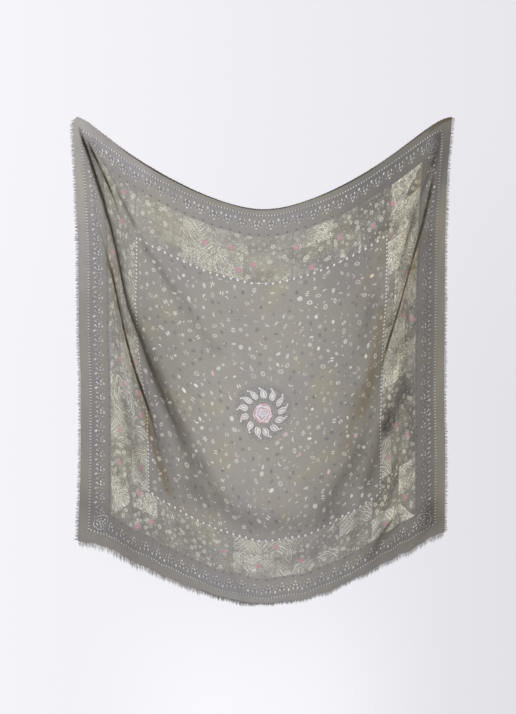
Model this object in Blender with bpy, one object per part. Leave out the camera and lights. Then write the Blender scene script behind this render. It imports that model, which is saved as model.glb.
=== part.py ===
"""Large square scarf of thin woven cloth with a frayed edge, hung from its two top corners.

The cloth is one square, worked out as a surface of two shares: across (0 at the left edge, 1 at the
right) and down (0 at the top hem, 1 at the bottom hem). The top hem hangs as a bow between the two
held corners. Every lengthwise thread starts on that bow and keeps its own length on its way down.
X runs from the left held corner to the right one, the printed face looks along -Y, and +Z is up.
The origin is the left held corner.
"""

from typing import NamedTuple

import bpy
import numpy as np

# Cut of the cloth, in metres
SIDE = 1.38
WALL = 0.0012
SEAM_GAP = 0.0003

# The bow of the top hem between the held corners
HELD_WIDTH = 1.226
TOP_SAG = 0.297
BOW_POWER = 1.5
BOW_ROUNDING = 0.12
BOW_SAMPLES = 4001
LEFT_SHOULDER = (0.011, 0.08)
RIGHT_SHOULDER = (0.022, 0.13)

# The frayed edge: a narrow woven strip and the locks that grow from it
STRIP_WIDTH = 0.0025
LOCK_LENGTH = 0.0105
LOCK_SPREAD = 0.0030
LOCK_ROOT = 0.0050
ROOT_SPREAD = 0.35
WIDEST_ROOT_SHARE = 0.6
LOCK_LEAN = 0.28
TOP_LOCK_SHARE = 0.75
SIDE_HANG = (0.0, 0.0, -0.15)
BOTTOM_HANG = (0.0, 0.0, -0.2)
TOP_HANG = (0.0, 0.8, -0.7)
SEEDS_PER_SIDE = 10

# How folds open as they leave the held corner: a share of their full width, and more for each metre
OPENING_AT_CORNER = 0.45
OPENING_PER_METRE = 0.8

# How far along a fold the bow of its line reaches
BOW_LENGTH = 0.70

# A thread drops by at least this share of its own length, however it leans
LEAST_DROP = 0.2

# Grid of the solid wall, and the narrowest flank of a fold that it can hold
CELLS = 48
EVEN_SHARE = 0.55
SOFTEST_FLANK = 0.028
SHARP_ANGLE = 50.0

# Stations across the cloth at which the tables below give values: both edges, the inner lines of
# both borders, both beaded lines and the middle
STATIONS = np.array([0.0, 0.07, 0.187, 0.5, 0.813, 0.93, 1.0])


class Section(NamedTuple):
    """One level of the hung cloth: values at the seven stations, in millimetres."""

    down: float
    left_edge: float
    left_border: float
    left_line: float
    middle: float
    right_line: float
    right_border: float
    right_edge: float


# Sideways drift from plumb, to the right where positive
DRIFT = (
    Section(0.000, 0, 0, 0, 0, 0, 0, 0),
    Section(0.020, -9, -6, -2, 0, 0, -2, -3),
    Section(0.060, -8, -4, -6, -2, 0, -5, -6),
    Section(0.110, -4, 3, -10, -4, 1, -10, -11),
    Section(0.187, -1, 13, -14, -6, 2, -17, -15),
    Section(0.330, 5, 22, -15, -6, -4, -25, -18),
    Section(0.500, 6, 23, 1, -5, -20, -30, -19),
    Section(0.650, 14, 29, 25, -5, -24, -32, -22),
    Section(0.813, 14, 29, 26, -6, -20, -30, -20),
    Section(1.000, 6, 27, 27, -10, -20, -29, -19),
)

# Depth, away from the viewer where positive: the top hem rolls back, the middle bellies forward
# and the lower band leans back
DEPTH = (
    Section(0.000, 0, 16, 24, 36, 26, 18, 0),
    Section(0.025, 0, 2, 6, 12, 8, 6, 4),
    Section(0.060, 4, 5, 4, 8, 4, 8, 10),
    Section(0.187, 16, 8, -4, -6, -8, 16, 30),
    Section(0.330, 26, 6, -34, -54, -42, 14, 44),
    Section(0.500, 26, -2, -52, -92, -66, 4, 42),
    Section(0.650, 18, -4, -42, -78, -56, 2, 34),
    Section(0.813, 8, 0, -12, -20, -10, 10, 26),
    Section(0.930, 0, 4, 18, 58, 30, 30, 36),
    Section(0.975, -2, 6, 24, 70, 42, 38, 42),
    Section(1.000, -4, 6, 30, 97, 60, 46, 48),
)

# How much longer than its cut length each lengthwise thread hangs, in thousandths: pairs of a
# share across and that much, above 0 where the hung weight draws threads out and below 0 where
# they take up in crinkles
GIVE = (
    (0.000, 4.0), (0.035, 8.0), (0.080, 4.0), (0.200, -3.5), (0.250, -15.0), (0.300, -16.0), (0.370, -11.0),
    (0.450, -9.5), (0.500, -3.0), (0.540, -4.2), (0.600, 2.5), (0.680, -2.5), (0.770, -6.0), (0.840, 2.5),
    (0.920, 6.0), (1.000, -11.0),
)


class Fold(NamedTuple):
    """One fold that runs from a side edge towards the middle of the cloth, in metres."""

    side: str
    drop: float       # how far down the side edge its line starts
    slope: float      # down for each metre across
    starts: float     # distances along the fold
    full: float
    fades: float
    ends: float
    rise: float       # towards the viewer where positive
    outer: float      # half width on the side of the hanging edge
    inner: float      # half width on the side of the middle
    bow: float = 0.0  # how far the line bulges towards the side edge near the corner


FOLDS = (
    Fold("left", 0.000, 2.30, 0.01, 0.12, 0.62, 1.15, 0.026, 0.050, 0.010, 0.0245),
    Fold("left", 0.000, 2.25, 1.20, 1.45, 1.60, 1.80, 0.008, 0.050, 0.014),
    Fold("left", 0.040, 3.10, 0.10, 0.40, 0.80, 1.20, 0.016, 0.050, 0.012, 0.038),
    Fold("left", 0.000, 1.45, 0.04, 0.10, 0.19, 0.29, 0.007, 0.016, 0.009),
    Fold("left", 0.000, 0.97, 0.04, 0.16, 0.30, 0.60, 0.010, 0.040, 0.020),
    Fold("left", 0.100, 5.00, 0.55, 0.80, 1.00, 1.30, -0.010, 0.030, 0.030),
    Fold("left", 0.000, 1.45, 0.30, 0.60, 0.80, 1.20, -0.012, 0.050, 0.040),
    Fold("right", 0.000, 2.78, 0.01, 0.16, 0.62, 0.95, 0.022, 0.045, 0.012, 0.038),
    Fold("right", 0.000, 1.95, 0.02, 0.12, 0.30, 0.55, 0.010, 0.022, 0.016),
    Fold("right", 0.415, 2.00, 0.10, 0.35, 0.60, 0.95, 0.014, 0.060, 0.034),
    Fold("right", 0.410, 1.33, 0.40, 0.65, 0.85, 1.20, 0.010, 0.045, 0.030),
    Fold("right", 0.000, 1.05, 0.10, 0.30, 0.50, 0.80, 0.008, 0.040, 0.030),
    Fold("right", 0.850, 1.30, 0.10, 0.30, 0.45, 0.70, 0.010, 0.040, 0.020),
    Fold("right", 1.095, 0.75, 0.22, 0.26, 0.31, 0.37, 0.006, 0.022, 0.008),
)


def smooth_step(low, high, at):
    """0 below low, 1 above high, and a soft S between them."""
    share = np.clip((at - low) / (high - low), 0.0, 1.0)
    return share * share * (3.0 - 2.0 * share)


def through(places, values, at):
    """A smooth curve through values, one row for each place, read at other places.

    Between two places it is a cubic. Its slope at a place is the harmonic mean of the slopes on both
    sides, or level at a peak or a dip, so that it never swings past the values.
    """
    widths = np.diff(places).reshape((-1,) + (1,) * (values.ndim - 1))
    rates = np.diff(values, axis=0) / widths
    slopes = np.concatenate([rates[:1], rates, rates[-1:]])
    before, after = slopes[:-1], slopes[1:]
    same_way = before * after > 0.0
    slopes = np.where(same_way, 2.0 * before * after / np.where(same_way, before + after, 1.0), 0.0)
    cell = np.clip(np.searchsorted(places, at) - 1, 0, len(places) - 2)
    width = widths[cell]
    t = (at - places[cell]).reshape(width.shape) / width
    start, end = values[cell], values[cell + 1]
    bend = slopes[cell] * (1.0 - t) - slopes[cell + 1] * t
    return start + (end - start) * t * t * (3.0 - 2.0 * t) + bend * width * t * (1.0 - t)


def read_table(table, across, down):
    """A table's values in metres on a grid, rows across and columns down."""
    levels = np.array([section.down for section in table])
    values = np.array([section[1:] for section in table]) / 1000.0
    at_stations = through(levels, values, down).T
    return through(STATIONS, at_stations, across)


def top_hem(across):
    """X and Z of the top hem: a bow whose drop follows a power of the distance from the middle.

    Its lowest point is rounded, and close to each held corner the hem stands up in a low shoulder,
    given by its height and how far from the corner it peaks. A share across is a share of the length
    of this bow.
    """
    half = HELD_WIDTH / 2.0
    place = np.linspace(-1.0, 1.0, BOW_SAMPLES)
    climb = np.hypot(place, BOW_ROUNDING) ** BOW_POWER
    z = -TOP_SAG * (climb.max() - climb) / (climb.max() - climb.min())
    for side, (height, peak) in ((-1.0, LEFT_SHOULDER), (1.0, RIGHT_SHOULDER)):
        to_corner = (1.0 - side * place) / peak
        z = z + height * to_corner * np.exp(1.0 - to_corner)
    x = half * (1.0 + place)
    steps = np.hypot(np.diff(x), np.diff(z))
    share = np.concatenate([[0.0], np.cumsum(steps)]) / steps.sum()
    return np.interp(across, share, x), np.interp(across, share, z - z[0])


def fold_height(fold, across, down, softest):
    """How far a fold stands out of the cloth on a grid of metres across and metres down.

    Its line starts on the side edge. Across the line it is a bell with its own half width on each
    side, which opens with the distance along the line, and along the line it swells and fades.
    """
    from_edge = across if fold.side == "left" else SIDE - across
    length = np.hypot(1.0, fold.slope)
    below = down - fold.drop
    along = (from_edge + fold.slope * below) / length
    bulge = np.sin(np.pi * np.clip(along / BOW_LENGTH, 0.0, 1.0)) ** 2
    aside = (fold.slope * from_edge - below) / length + fold.bow * bulge
    opening = OPENING_AT_CORNER + OPENING_PER_METRE * np.clip(along, 0.0, SIDE)
    outer = np.maximum(fold.outer, softest) * opening
    inner = np.maximum(fold.inner * opening, softest)
    half_width = np.where(aside > 0.0, inner, outer)
    swell = smooth_step(fold.starts, fold.full, along) * (1.0 - smooth_step(fold.fades, fold.ends, along))
    return fold.rise * swell * np.exp(-((aside / half_width) ** 2))


def hung_cloth(across, down, softest):
    """Points of the hung cloth on a grid, as an array of rows across, columns down and X, Y, Z.

    The tables give the sideways drift and the depth, to which the folds are added. The height starts
    on the bow of the top hem, and each step down a thread drops by what is left of its length, the
    cut one and its give, once its sideways and depth parts are taken off.
    """
    x_top, z_top = top_hem(across)
    x = x_top[:, None] + read_table(DRIFT, across, down)
    y = read_table(DEPTH, across, down)
    grid_across, grid_down = np.meshgrid(across * SIDE, down * SIDE, indexing="ij")
    for fold in FOLDS:
        y = y - fold_height(fold, grid_across, grid_down, softest)
    give = through(np.array([share for share, _ in GIVE]), np.array([[much] for _, much in GIVE]), across)
    step = np.diff(down * SIDE) * (1.0 + give / 1000.0)
    left_over = step ** 2 - np.diff(x, axis=1) ** 2 - np.diff(y, axis=1) ** 2
    drop = np.sqrt(np.maximum(left_over, (LEAST_DROP * step) ** 2))
    z = z_top[:, None] - np.concatenate([np.zeros((len(across), 1)), np.cumsum(drop, axis=1)], axis=1)
    return np.stack([x, y, z], axis=-1)


def unit(vectors):
    """Vectors of length 1 in the same directions."""
    return vectors / np.linalg.norm(vectors, axis=-1, keepdims=True)


def cloth_normals(points):
    """Unit normals of the cloth that look towards the viewer, from its slopes both ways."""
    run_across = np.gradient(points, axis=0)
    run_down = np.gradient(points, axis=1)
    return unit(np.cross(run_down, run_across))


def grid_shares():
    """Shares along a side, closer together towards both ends, where the folds gather."""
    even = np.linspace(0.0, 1.0, CELLS + 1)
    return EVEN_SHARE * even + (1.0 - EVEN_SHARE) * (1.0 - np.cos(np.pi * even)) / 2.0


def make_material(name, colour, roughness):
    """A plain cloth finish."""
    material = bpy.data.materials.new(name)
    material.use_nodes = True
    shader = material.node_tree.nodes["Principled BSDF"]
    shader.inputs["Base Color"].default_value = (*colour, 1.0)
    shader.inputs["Roughness"].default_value = roughness
    shader.inputs["Metallic"].default_value = 0.0
    material.diffuse_color = (*colour, 1.0)
    return material


def make_object(name, points, faces, material):
    """One named object from points and faces."""
    mesh = bpy.data.meshes.new(name)
    mesh.from_pydata(points.tolist(), [], faces)
    mesh.validate()
    mesh.shade_smooth()
    mesh.set_sharp_from_angle(angle=np.radians(SHARP_ANGLE))
    mesh.materials.append(material)
    piece = bpy.data.objects.new(name, mesh)
    bpy.context.scene.collection.objects.link(piece)
    return piece


def cloth_wall(points, normals, material):
    """The cloth as a closed wall: a front sheet, a back sheet and the four cut edges between them.

    Each cell is split along the diagonal that falls away from its own held corner, the way the folds
    run, and both sheets are split alike.
    """
    front = points + normals * WALL / 2.0
    back = points - normals * WALL / 2.0
    count = CELLS + 1
    sheet = count * count

    def at(i, j):
        return i * count + j

    faces = []
    for i in range(CELLS):
        for j in range(CELLS):
            corners = [at(i, j), at(i, j + 1), at(i + 1, j + 1), at(i + 1, j)]
            first = 0 if i < CELLS // 2 else 1
            turned = corners[first:] + corners[:first]
            for triangle in ((turned[0], turned[1], turned[2]), (turned[0], turned[2], turned[3])):
                faces.append(triangle)
                faces.append(tuple(sheet + corner for corner in reversed(triangle)))
    rim = [at(0, j) for j in range(CELLS)] + [at(i, CELLS) for i in range(CELLS)]
    rim += [at(CELLS, j) for j in range(CELLS, 0, -1)] + [at(i, 0) for i in range(CELLS, 0, -1)]
    for here, there in zip(rim, rim[1:] + rim[:1]):
        faces.append((here, sheet + here, sheet + there))
        faces.append((here, sheet + there, there))
    both = np.concatenate([front.reshape(-1, 3), back.reshape(-1, 3)])
    return make_object("scarf_cloth", both, faces, material)


def wobble(count, seed):
    """Even-handed uneven numbers from -1 to 1, the same each time for the same seed."""
    return np.random.default_rng(seed).uniform(-1.0, 1.0, count)


def frayed_edge(name, edge, way, normals, hang, length, seed, material):
    """One frayed side: a narrow strip along the cut edge, with a lock growing out of each cell but
    the two at the corners.

    The strip's stations are the cloth's own edge points and one more in each cell, so the strip runs
    exactly along the cut edge, a seam's gap away. From that extra station to the next edge point the
    strip's outer face is drawn out into a four-sided lock. way is 1 or -1, the side of the edge's run
    on which the strip lies, and hang is the way in which the locks bend.
    """
    outward = way * unit(np.cross(np.gradient(edge, axis=0), normals))
    cells = len(edge) - 1
    lengths = np.linalg.norm(np.diff(edge, axis=0), axis=1)
    roots = LOCK_ROOT * (1.0 + ROOT_SPREAD * wobble(cells, seed)) / lengths
    root_share = 1.0 - np.minimum(roots, WIDEST_ROOT_SHARE)
    places = np.empty(2 * cells + 1)
    places[0::2] = np.arange(cells + 1)
    places[1::2] = np.arange(cells) + root_share

    def along(values):
        return np.stack([np.interp(places, np.arange(cells + 1), values[:, k]) for k in range(3)], axis=1)

    line, away, face = along(edge), along(outward), along(normals) * WALL / 2.0
    near = line + away * SEAM_GAP
    far = line + away * (SEAM_GAP + STRIP_WIDTH)
    rings = np.stack([near + face, far + face, far - face, near - face], axis=1)
    root = (rings[1:-1:2, 1:3].mean(axis=1) + rings[2::2, 1:3].mean(axis=1)) / 2.0
    run = unit(np.diff(edge, axis=0))
    reach = (length + LOCK_SPREAD * wobble(cells, seed + 1))[:, None]
    lean = LOCK_LEAN * wobble(cells, seed + 2)[:, None]
    heading = unit(unit(away[1::2] + hang) + lean * run)
    tips = root + heading * reach
    points = np.concatenate([rings.reshape(-1, 3), tips[1:-1]])
    first_tip = 4 * len(places) - 1
    faces = [(0, 1, 2, 3)]
    for station in range(2 * cells):
        here, there = 4 * station, 4 * station + 4
        for side in range(4):
            following = (side + 1) % 4
            quad = (here + side, there + side, there + following, here + following)
            if side == 1 and station % 2 and 0 < station // 2 < cells - 1:
                tip = first_tip + station // 2
                faces += [(quad[k], quad[(k + 1) % 4], tip) for k in range(4)]
            else:
                faces += [(quad[0], quad[1], quad[2]), (quad[0], quad[2], quad[3])]
    last = 8 * cells
    faces.append((last + 3, last + 2, last + 1, last))
    if way > 0:
        faces = [face[::-1] for face in faces]
    return make_object(name, points, faces, material)


def build():
    """Clears the scene and builds the cloth and its four frayed edges."""
    for thing in list(bpy.data.objects):
        bpy.data.objects.remove(thing, do_unlink=True)
    cloth = make_material("printed_cloth", (0.30, 0.285, 0.26), 0.85)
    thread = make_material("frayed_thread", (0.42, 0.41, 0.39), 0.9)
    shares = grid_shares()
    points = hung_cloth(shares, shares, SOFTEST_FLANK)
    normals = cloth_normals(points)
    cloth_wall(points, normals, cloth)
    sides = (
        ("fringe_left", points[0], 1, normals[0], SIDE_HANG, LOCK_LENGTH),
        ("fringe_right", points[-1], -1, normals[-1], SIDE_HANG, LOCK_LENGTH),
        ("fringe_bottom", points[:, -1], 1, normals[:, -1], BOTTOM_HANG, LOCK_LENGTH),
        ("fringe_top", points[:, 0], -1, normals[:, 0], TOP_HANG, LOCK_LENGTH * TOP_LOCK_SHARE),
    )
    for number, (name, edge, way, face, hang, length) in enumerate(sides):
        frayed_edge(name, edge, way, face, np.array(hang), length, SEEDS_PER_SIDE * number, thread)


build()
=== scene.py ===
"""Looks of the large square scarf: thin printed cloth with a frayed edge, hung from two top corners.

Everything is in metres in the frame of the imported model. X runs from the left held corner to the
right one, the printed face looks along -Y, and +Z is up. The print is worked out in millimetres from
the middle of the cloth, from the cloth's own map, so it follows every fold.
"""
import logging
import math
from dataclasses import dataclass, field
from enum import Enum
from typing import Any, Callable, NamedTuple, Sequence

import bpy
import numpy as np
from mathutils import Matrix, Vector


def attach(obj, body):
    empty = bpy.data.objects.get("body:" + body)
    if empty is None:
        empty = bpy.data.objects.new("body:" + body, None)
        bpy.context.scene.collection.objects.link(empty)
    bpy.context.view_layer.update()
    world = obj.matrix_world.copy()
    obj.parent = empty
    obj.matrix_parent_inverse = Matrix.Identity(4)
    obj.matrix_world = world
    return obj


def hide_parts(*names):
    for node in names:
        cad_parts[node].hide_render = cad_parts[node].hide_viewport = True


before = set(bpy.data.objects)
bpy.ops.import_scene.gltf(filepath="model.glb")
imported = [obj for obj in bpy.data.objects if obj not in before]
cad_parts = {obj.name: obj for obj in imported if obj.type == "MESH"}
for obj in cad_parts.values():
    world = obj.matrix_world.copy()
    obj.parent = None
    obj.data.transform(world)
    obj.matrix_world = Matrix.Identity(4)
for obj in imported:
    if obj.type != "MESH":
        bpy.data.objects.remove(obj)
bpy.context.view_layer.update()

LOG = logging.getLogger("scarf")
BODY = "root"
CLOTH_MAP = "cloth"
# The point attribute of the painted shade along the crease lines
CREASE_SHADE = "painted_crease_shade"
# The point attribute of the colour factors of painted shade and light
PAINTED_LIGHT_AND_SHADE = "tint"
TURN = 2.0 * math.pi

Array = np.ndarray
Colour = tuple[float, float, float]


# Shader maths


def math_method(operation: str, turned: bool = False) -> Callable[..., "Channel"]:
    """A method that makes a Math node.

    Args:
        operation: the node's operation.
        turned: whether the channel comes after the other value.

    Returns:
        The method of a channel and the other values, if the operation has any.
    """
    def method(channel: "Channel", *others: Any) -> "Channel":
        """The node's result."""
        values = (*others, channel) if turned else (channel, *others)
        return channel.graph.node("ShaderNodeMath", {"operation": operation}, dict(enumerate(values)))

    return method


class Channel:
    """One output of a shader node, which takes part in Python expressions.

    A comparison is 1 or 0, and a remainder is never negative.
    """

    def __init__(self, graph: "Graph", socket: bpy.types.NodeSocket) -> None:
        """Wraps an output socket of a graph."""
        self.graph = graph
        self.socket = socket

    __add__ = __radd__ = math_method("ADD")
    __mul__ = __rmul__ = math_method("MULTIPLY")
    __sub__, __rsub__ = math_method("SUBTRACT"), math_method("SUBTRACT", turned=True)
    __truediv__, __rtruediv__ = math_method("DIVIDE"), math_method("DIVIDE", turned=True)
    __pow__, __mod__ = math_method("POWER"), math_method("FLOORED_MODULO")
    __lt__, __gt__ = math_method("LESS_THAN"), math_method("GREATER_THAN")
    __abs__, floor = math_method("ABSOLUTE"), math_method("FLOOR")
    sin, cos = math_method("SINE"), math_method("COSINE")
    least, most = math_method("MINIMUM"), math_method("MAXIMUM")
    angle_to = math_method("ARCTAN2")

    def ramp(self, low: float, high: float, start: float, end: float) -> "Channel":
        """A soft S from start, at low and below, to end, at high and above."""
        return self.graph.node(
            "ShaderNodeMapRange",
            {"interpolation_type": "SMOOTHSTEP", "clamp": True},
            {"Value": self, "From Min": low, "From Max": high, "To Min": start, "To Max": end},
        )

    def rise(self, low: float, high: float) -> "Channel":
        """0 below low, 1 above high, and a soft S between."""
        return self.ramp(low, high, 0.0, 1.0)

    def fall(self, low: float, high: float) -> "Channel":
        """1 below low, 0 above high, and a soft S between."""
        return self.ramp(low, high, 1.0, 0.0)

    def between(self, low: float, high: float, soft: float) -> "Channel":
        """1 from low to high with soft ends, else 0."""
        return self.rise(low - soft, low + soft) * self.fall(high - soft, high + soft)


class Graph:
    """Makes and joins the nodes of one material or world."""

    def __init__(self, owner: bpy.types.Material | bpy.types.World) -> None:
        """Takes a material or a world with nodes."""
        self.tree = owner.node_tree

    def make(self, kind: str, settings: dict | None, values: dict | None) -> bpy.types.Node:
        """A node of any type.

        Args:
            kind: the node's type.
            settings: its settings, which are set first.
            values: values or links of its sockets, by name or number.

        Returns:
            The node.
        """
        made = self.tree.nodes.new(kind)
        for name, value in (settings or {}).items():
            setattr(made, name, value)
        self.feed(made, values or {})
        return made

    def feed(self, node: bpy.types.Node, values: dict) -> None:
        """Sets or links sockets of a node, by name or number."""
        for name, value in values.items():
            target = node.inputs[name]
            if isinstance(value, Channel):
                self.tree.links.new(value.socket, target)
            elif isinstance(value, tuple) and target.type == "RGBA":
                target.default_value = (*value, 1.0)
            else:
                target.default_value = value

    def node(self, kind: str, settings: dict | None = None, values: dict | None = None,
             output: Any = 0) -> Channel:
        """One output of a new node, as a channel."""
        return Channel(self, self.make(kind, settings, values).outputs[output])

    def outputs(self, kind: str, settings: dict | None, values: dict | None,
                names: Sequence[Any]) -> list[Channel]:
        """Several outputs of a new node, as channels."""
        made = self.make(kind, settings, values)
        return [Channel(self, made.outputs[name]) for name in names]

    def point(self, x: Any, y: Any, z: Any = 0.0) -> Channel:
        """A vector from its parts."""
        return self.node("ShaderNodeCombineXYZ", None, {0: x, 1: y, 2: z})

    def parts(self, vector: Channel) -> list[Channel]:
        """The three parts of a vector."""
        return self.outputs("ShaderNodeSeparateXYZ", None, {0: vector}, (0, 1, 2))

    def reach(self, x: Any, y: Any) -> Channel:
        """Distance of (x, y) from the origin."""
        return self.node("ShaderNodeVectorMath", {"operation": "LENGTH"}, {0: self.point(x, y)}, "Value")

    def chances(self, x: Any, y: Any, salt: Any) -> list[Channel]:
        """Four even chances from 0 to 1 that belong to the whole numbers x and y."""
        noise = {"Vector": self.point(x, y, salt)}
        value, tone = self.outputs("ShaderNodeTexWhiteNoise", {"noise_dimensions": "3D"}, noise, (0, 1))
        return [*self.outputs("ShaderNodeSeparateColor", None, {0: tone}, (0, 1, 2)), value]

    def cloud(self, where: Channel, scale: float, detail: float = 2.0, roughness: float = 0.5) -> Channel:
        """Soft noise of this many lumps a metre."""
        return self.node(
            "ShaderNodeTexNoise",
            {"noise_dimensions": "3D"},
            {"Vector": where, "Scale": scale, "Detail": detail, "Roughness": roughness},
        )

    def paint(self, under: Any, over: Any, mask: Any) -> Channel:
        """One colour laid over another where the mask is 1."""
        return self.node("ShaderNodeMix", {"data_type": "RGBA"}, {0: mask, 6: under, 7: over}, 2)

    def shade(self, colour: Channel, by: Channel) -> Channel:
        """A colour times a number."""
        return self.node("ShaderNodeVectorMath", {"operation": "SCALE"}, {0: colour, "Scale": by})


# The hung cloth


class Edge(Enum):
    """The two side edges from which folds run."""

    LEFT = "left"
    RIGHT = "right"


class Span(NamedTuple):
    """Metres along a fold's line where something starts, is full, fades and ends."""

    starts: float
    full: float
    fades: float
    ends: float


class CreaseShade(NamedTuple):
    """Painted shade of a fold: a narrow dark line on its inner flank and soft shade in the hollow beside it.
    """

    line: float
    line_span: Span
    hollow: float
    hollow_span: Span


class Fold(NamedTuple):
    """One fold that runs from a side edge towards the middle of the cloth, in metres.

    bow is how far its line bulges towards the side edge near the corner, and crease, where there is one, is
    the painted shade along it.
    """

    side: Edge
    drop: float
    slope: float
    starts: float
    full: float
    fades: float
    ends: float
    rise: float
    outer: float
    inner: float
    bow: float = 0.0
    crease: CreaseShade | None = None


# How far the cloth stands to the right (DRIFT) and away from the viewer (DEPTH): a share down it, and
# millimetres at the seven stations across it
DRIFT = (
    (0.000, 0, 0, 0, 0, 0, 0, 0),
    (0.020, -9, -6, -2, 0, 0, -2, -3),
    (0.060, -8, -4, -6, -2, 0, -5, -6),
    (0.110, -4, 3, -10, -4, 1, -10, -11),
    (0.187, -1, 13, -14, -6, 2, -17, -15),
    (0.330, 5, 22, -15, -6, -4, -25, -18),
    (0.500, 6, 23, 1, -5, -20, -30, -19),
    (0.650, 14, 29, 25, -5, -24, -32, -22),
    (0.813, 14, 29, 26, -6, -20, -30, -20),
    (1.000, 6, 27, 27, -10, -20, -29, -19),
)

DEPTH = (
    (0.000, 0, 16, 24, 36, 26, 18, 0),
    (0.025, 0, 2, 6, 12, 8, 6, 4),
    (0.060, 4, 5, 4, 8, 4, 8, 10),
    (0.187, 16, 8, -4, -6, -8, 16, 30),
    (0.330, 26, 6, -34, -54, -42, 14, 44),
    (0.500, 26, -2, -52, -92, -66, 4, 42),
    (0.650, 18, -4, -42, -78, -56, 2, 34),
    (0.813, 8, 0, -12, -20, -10, 10, 26),
    (0.930, 0, 4, 18, 58, 30, 30, 36),
    (0.975, -2, 6, 24, 70, 42, 38, 42),
    (1.000, -4, 6, 30, 97, 60, 46, 48),
)

# A share across the cloth, and how much longer its threads hang there, in thousandths
GIVE = (
    (0.000, 4.0), (0.035, 8.0), (0.080, 4.0), (0.200, -3.5), (0.250, -15.0), (0.300, -16.0), (0.370, -11.0),
    (0.450, -9.5), (0.500, -3.0), (0.540, -4.2), (0.600, 2.5), (0.680, -2.5), (0.770, -6.0), (0.840, 2.5),
    (0.920, 6.0), (1.000, -11.0),
)

# Each row is a Fold without its side; the crease at the end of some rows is the painted shade along that
# fold
MAIN_FOLDS = tuple(Fold(side, *row) for side, rows in {
    Edge.LEFT: (
        (0.000, 2.30, 0.01, 0.12, 0.62, 1.15, 0.026, 0.050, 0.010, 0.0245,
         CreaseShade(1.0, Span(0.01, 0.10, 0.56, 0.98), 0.92, Span(0.04, 0.20, 0.78, 1.26))),
        (0.000, 2.25, 1.20, 1.45, 1.60, 1.80, 0.008, 0.050, 0.014),
        (0.040, 3.10, 0.10, 0.40, 0.80, 1.20, 0.016, 0.050, 0.012, 0.038,
         CreaseShade(0.70, Span(0.34, 0.50, 0.78, 1.04), 0.38, Span(0.30, 0.55, 0.90, 1.20))),
        (0.000, 1.45, 0.04, 0.10, 0.19, 0.29, 0.007, 0.016, 0.009, 0.0,
         CreaseShade(0.66, Span(0.05, 0.11, 0.20, 0.33), 0.25, Span(0.05, 0.12, 0.25, 0.40))),
        (0.000, 0.97, 0.04, 0.16, 0.30, 0.60, 0.010, 0.040, 0.020),
        (0.100, 5.00, 0.55, 0.80, 1.00, 1.30, -0.010, 0.030, 0.030),
        (0.000, 1.45, 0.30, 0.60, 0.80, 1.20, -0.012, 0.050, 0.040),
    ),
    Edge.RIGHT: (
        (0.000, 2.78, 0.01, 0.16, 0.62, 0.95, 0.022, 0.045, 0.012, 0.038,
         CreaseShade(0.74, Span(0.06, 0.30, 0.62, 0.86), 0.52, Span(0.05, 0.35, 0.70, 1.05))),
        (0.000, 1.95, 0.02, 0.12, 0.30, 0.55, 0.010, 0.022, 0.016, 0.0,
         CreaseShade(0.20, Span(0.02, 0.12, 0.30, 0.55), 0.30, Span(0.02, 0.12, 0.30, 0.55))),
        (0.415, 2.00, 0.10, 0.35, 0.60, 0.95, 0.014, 0.060, 0.034),
        (0.410, 1.33, 0.40, 0.65, 0.85, 1.20, 0.010, 0.045, 0.030),
        (0.000, 1.05, 0.10, 0.30, 0.50, 0.80, 0.008, 0.040, 0.030),
        (0.850, 1.30, 0.10, 0.30, 0.45, 0.70, 0.010, 0.040, 0.020),
        (1.095, 0.75, 0.22, 0.26, 0.31, 0.37, 0.006, 0.022, 0.008, 0.0,
         CreaseShade(0.48, Span(0.22, 0.26, 0.31, 0.37), 0.30, Span(0.20, 0.26, 0.33, 0.42))),
    ),
}.items() for row in rows)


class PaintedShadeOrLight(Enum):
    """Painted shade or light that a soft stroke lays on the cloth's colour: factors of its red, green and
    blue.
    """

    HOLLOW_SHADE = (0.34, 0.31, 0.27)
    BROWN = (0.72, 0.60, 0.42)
    TAN = (1.16, 1.03, 0.78)
    RIDGE_HIGHLIGHT = (1.32, 1.26, 1.12)
    PALE_LIGHT = (1.32, 1.31, 1.42)


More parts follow.
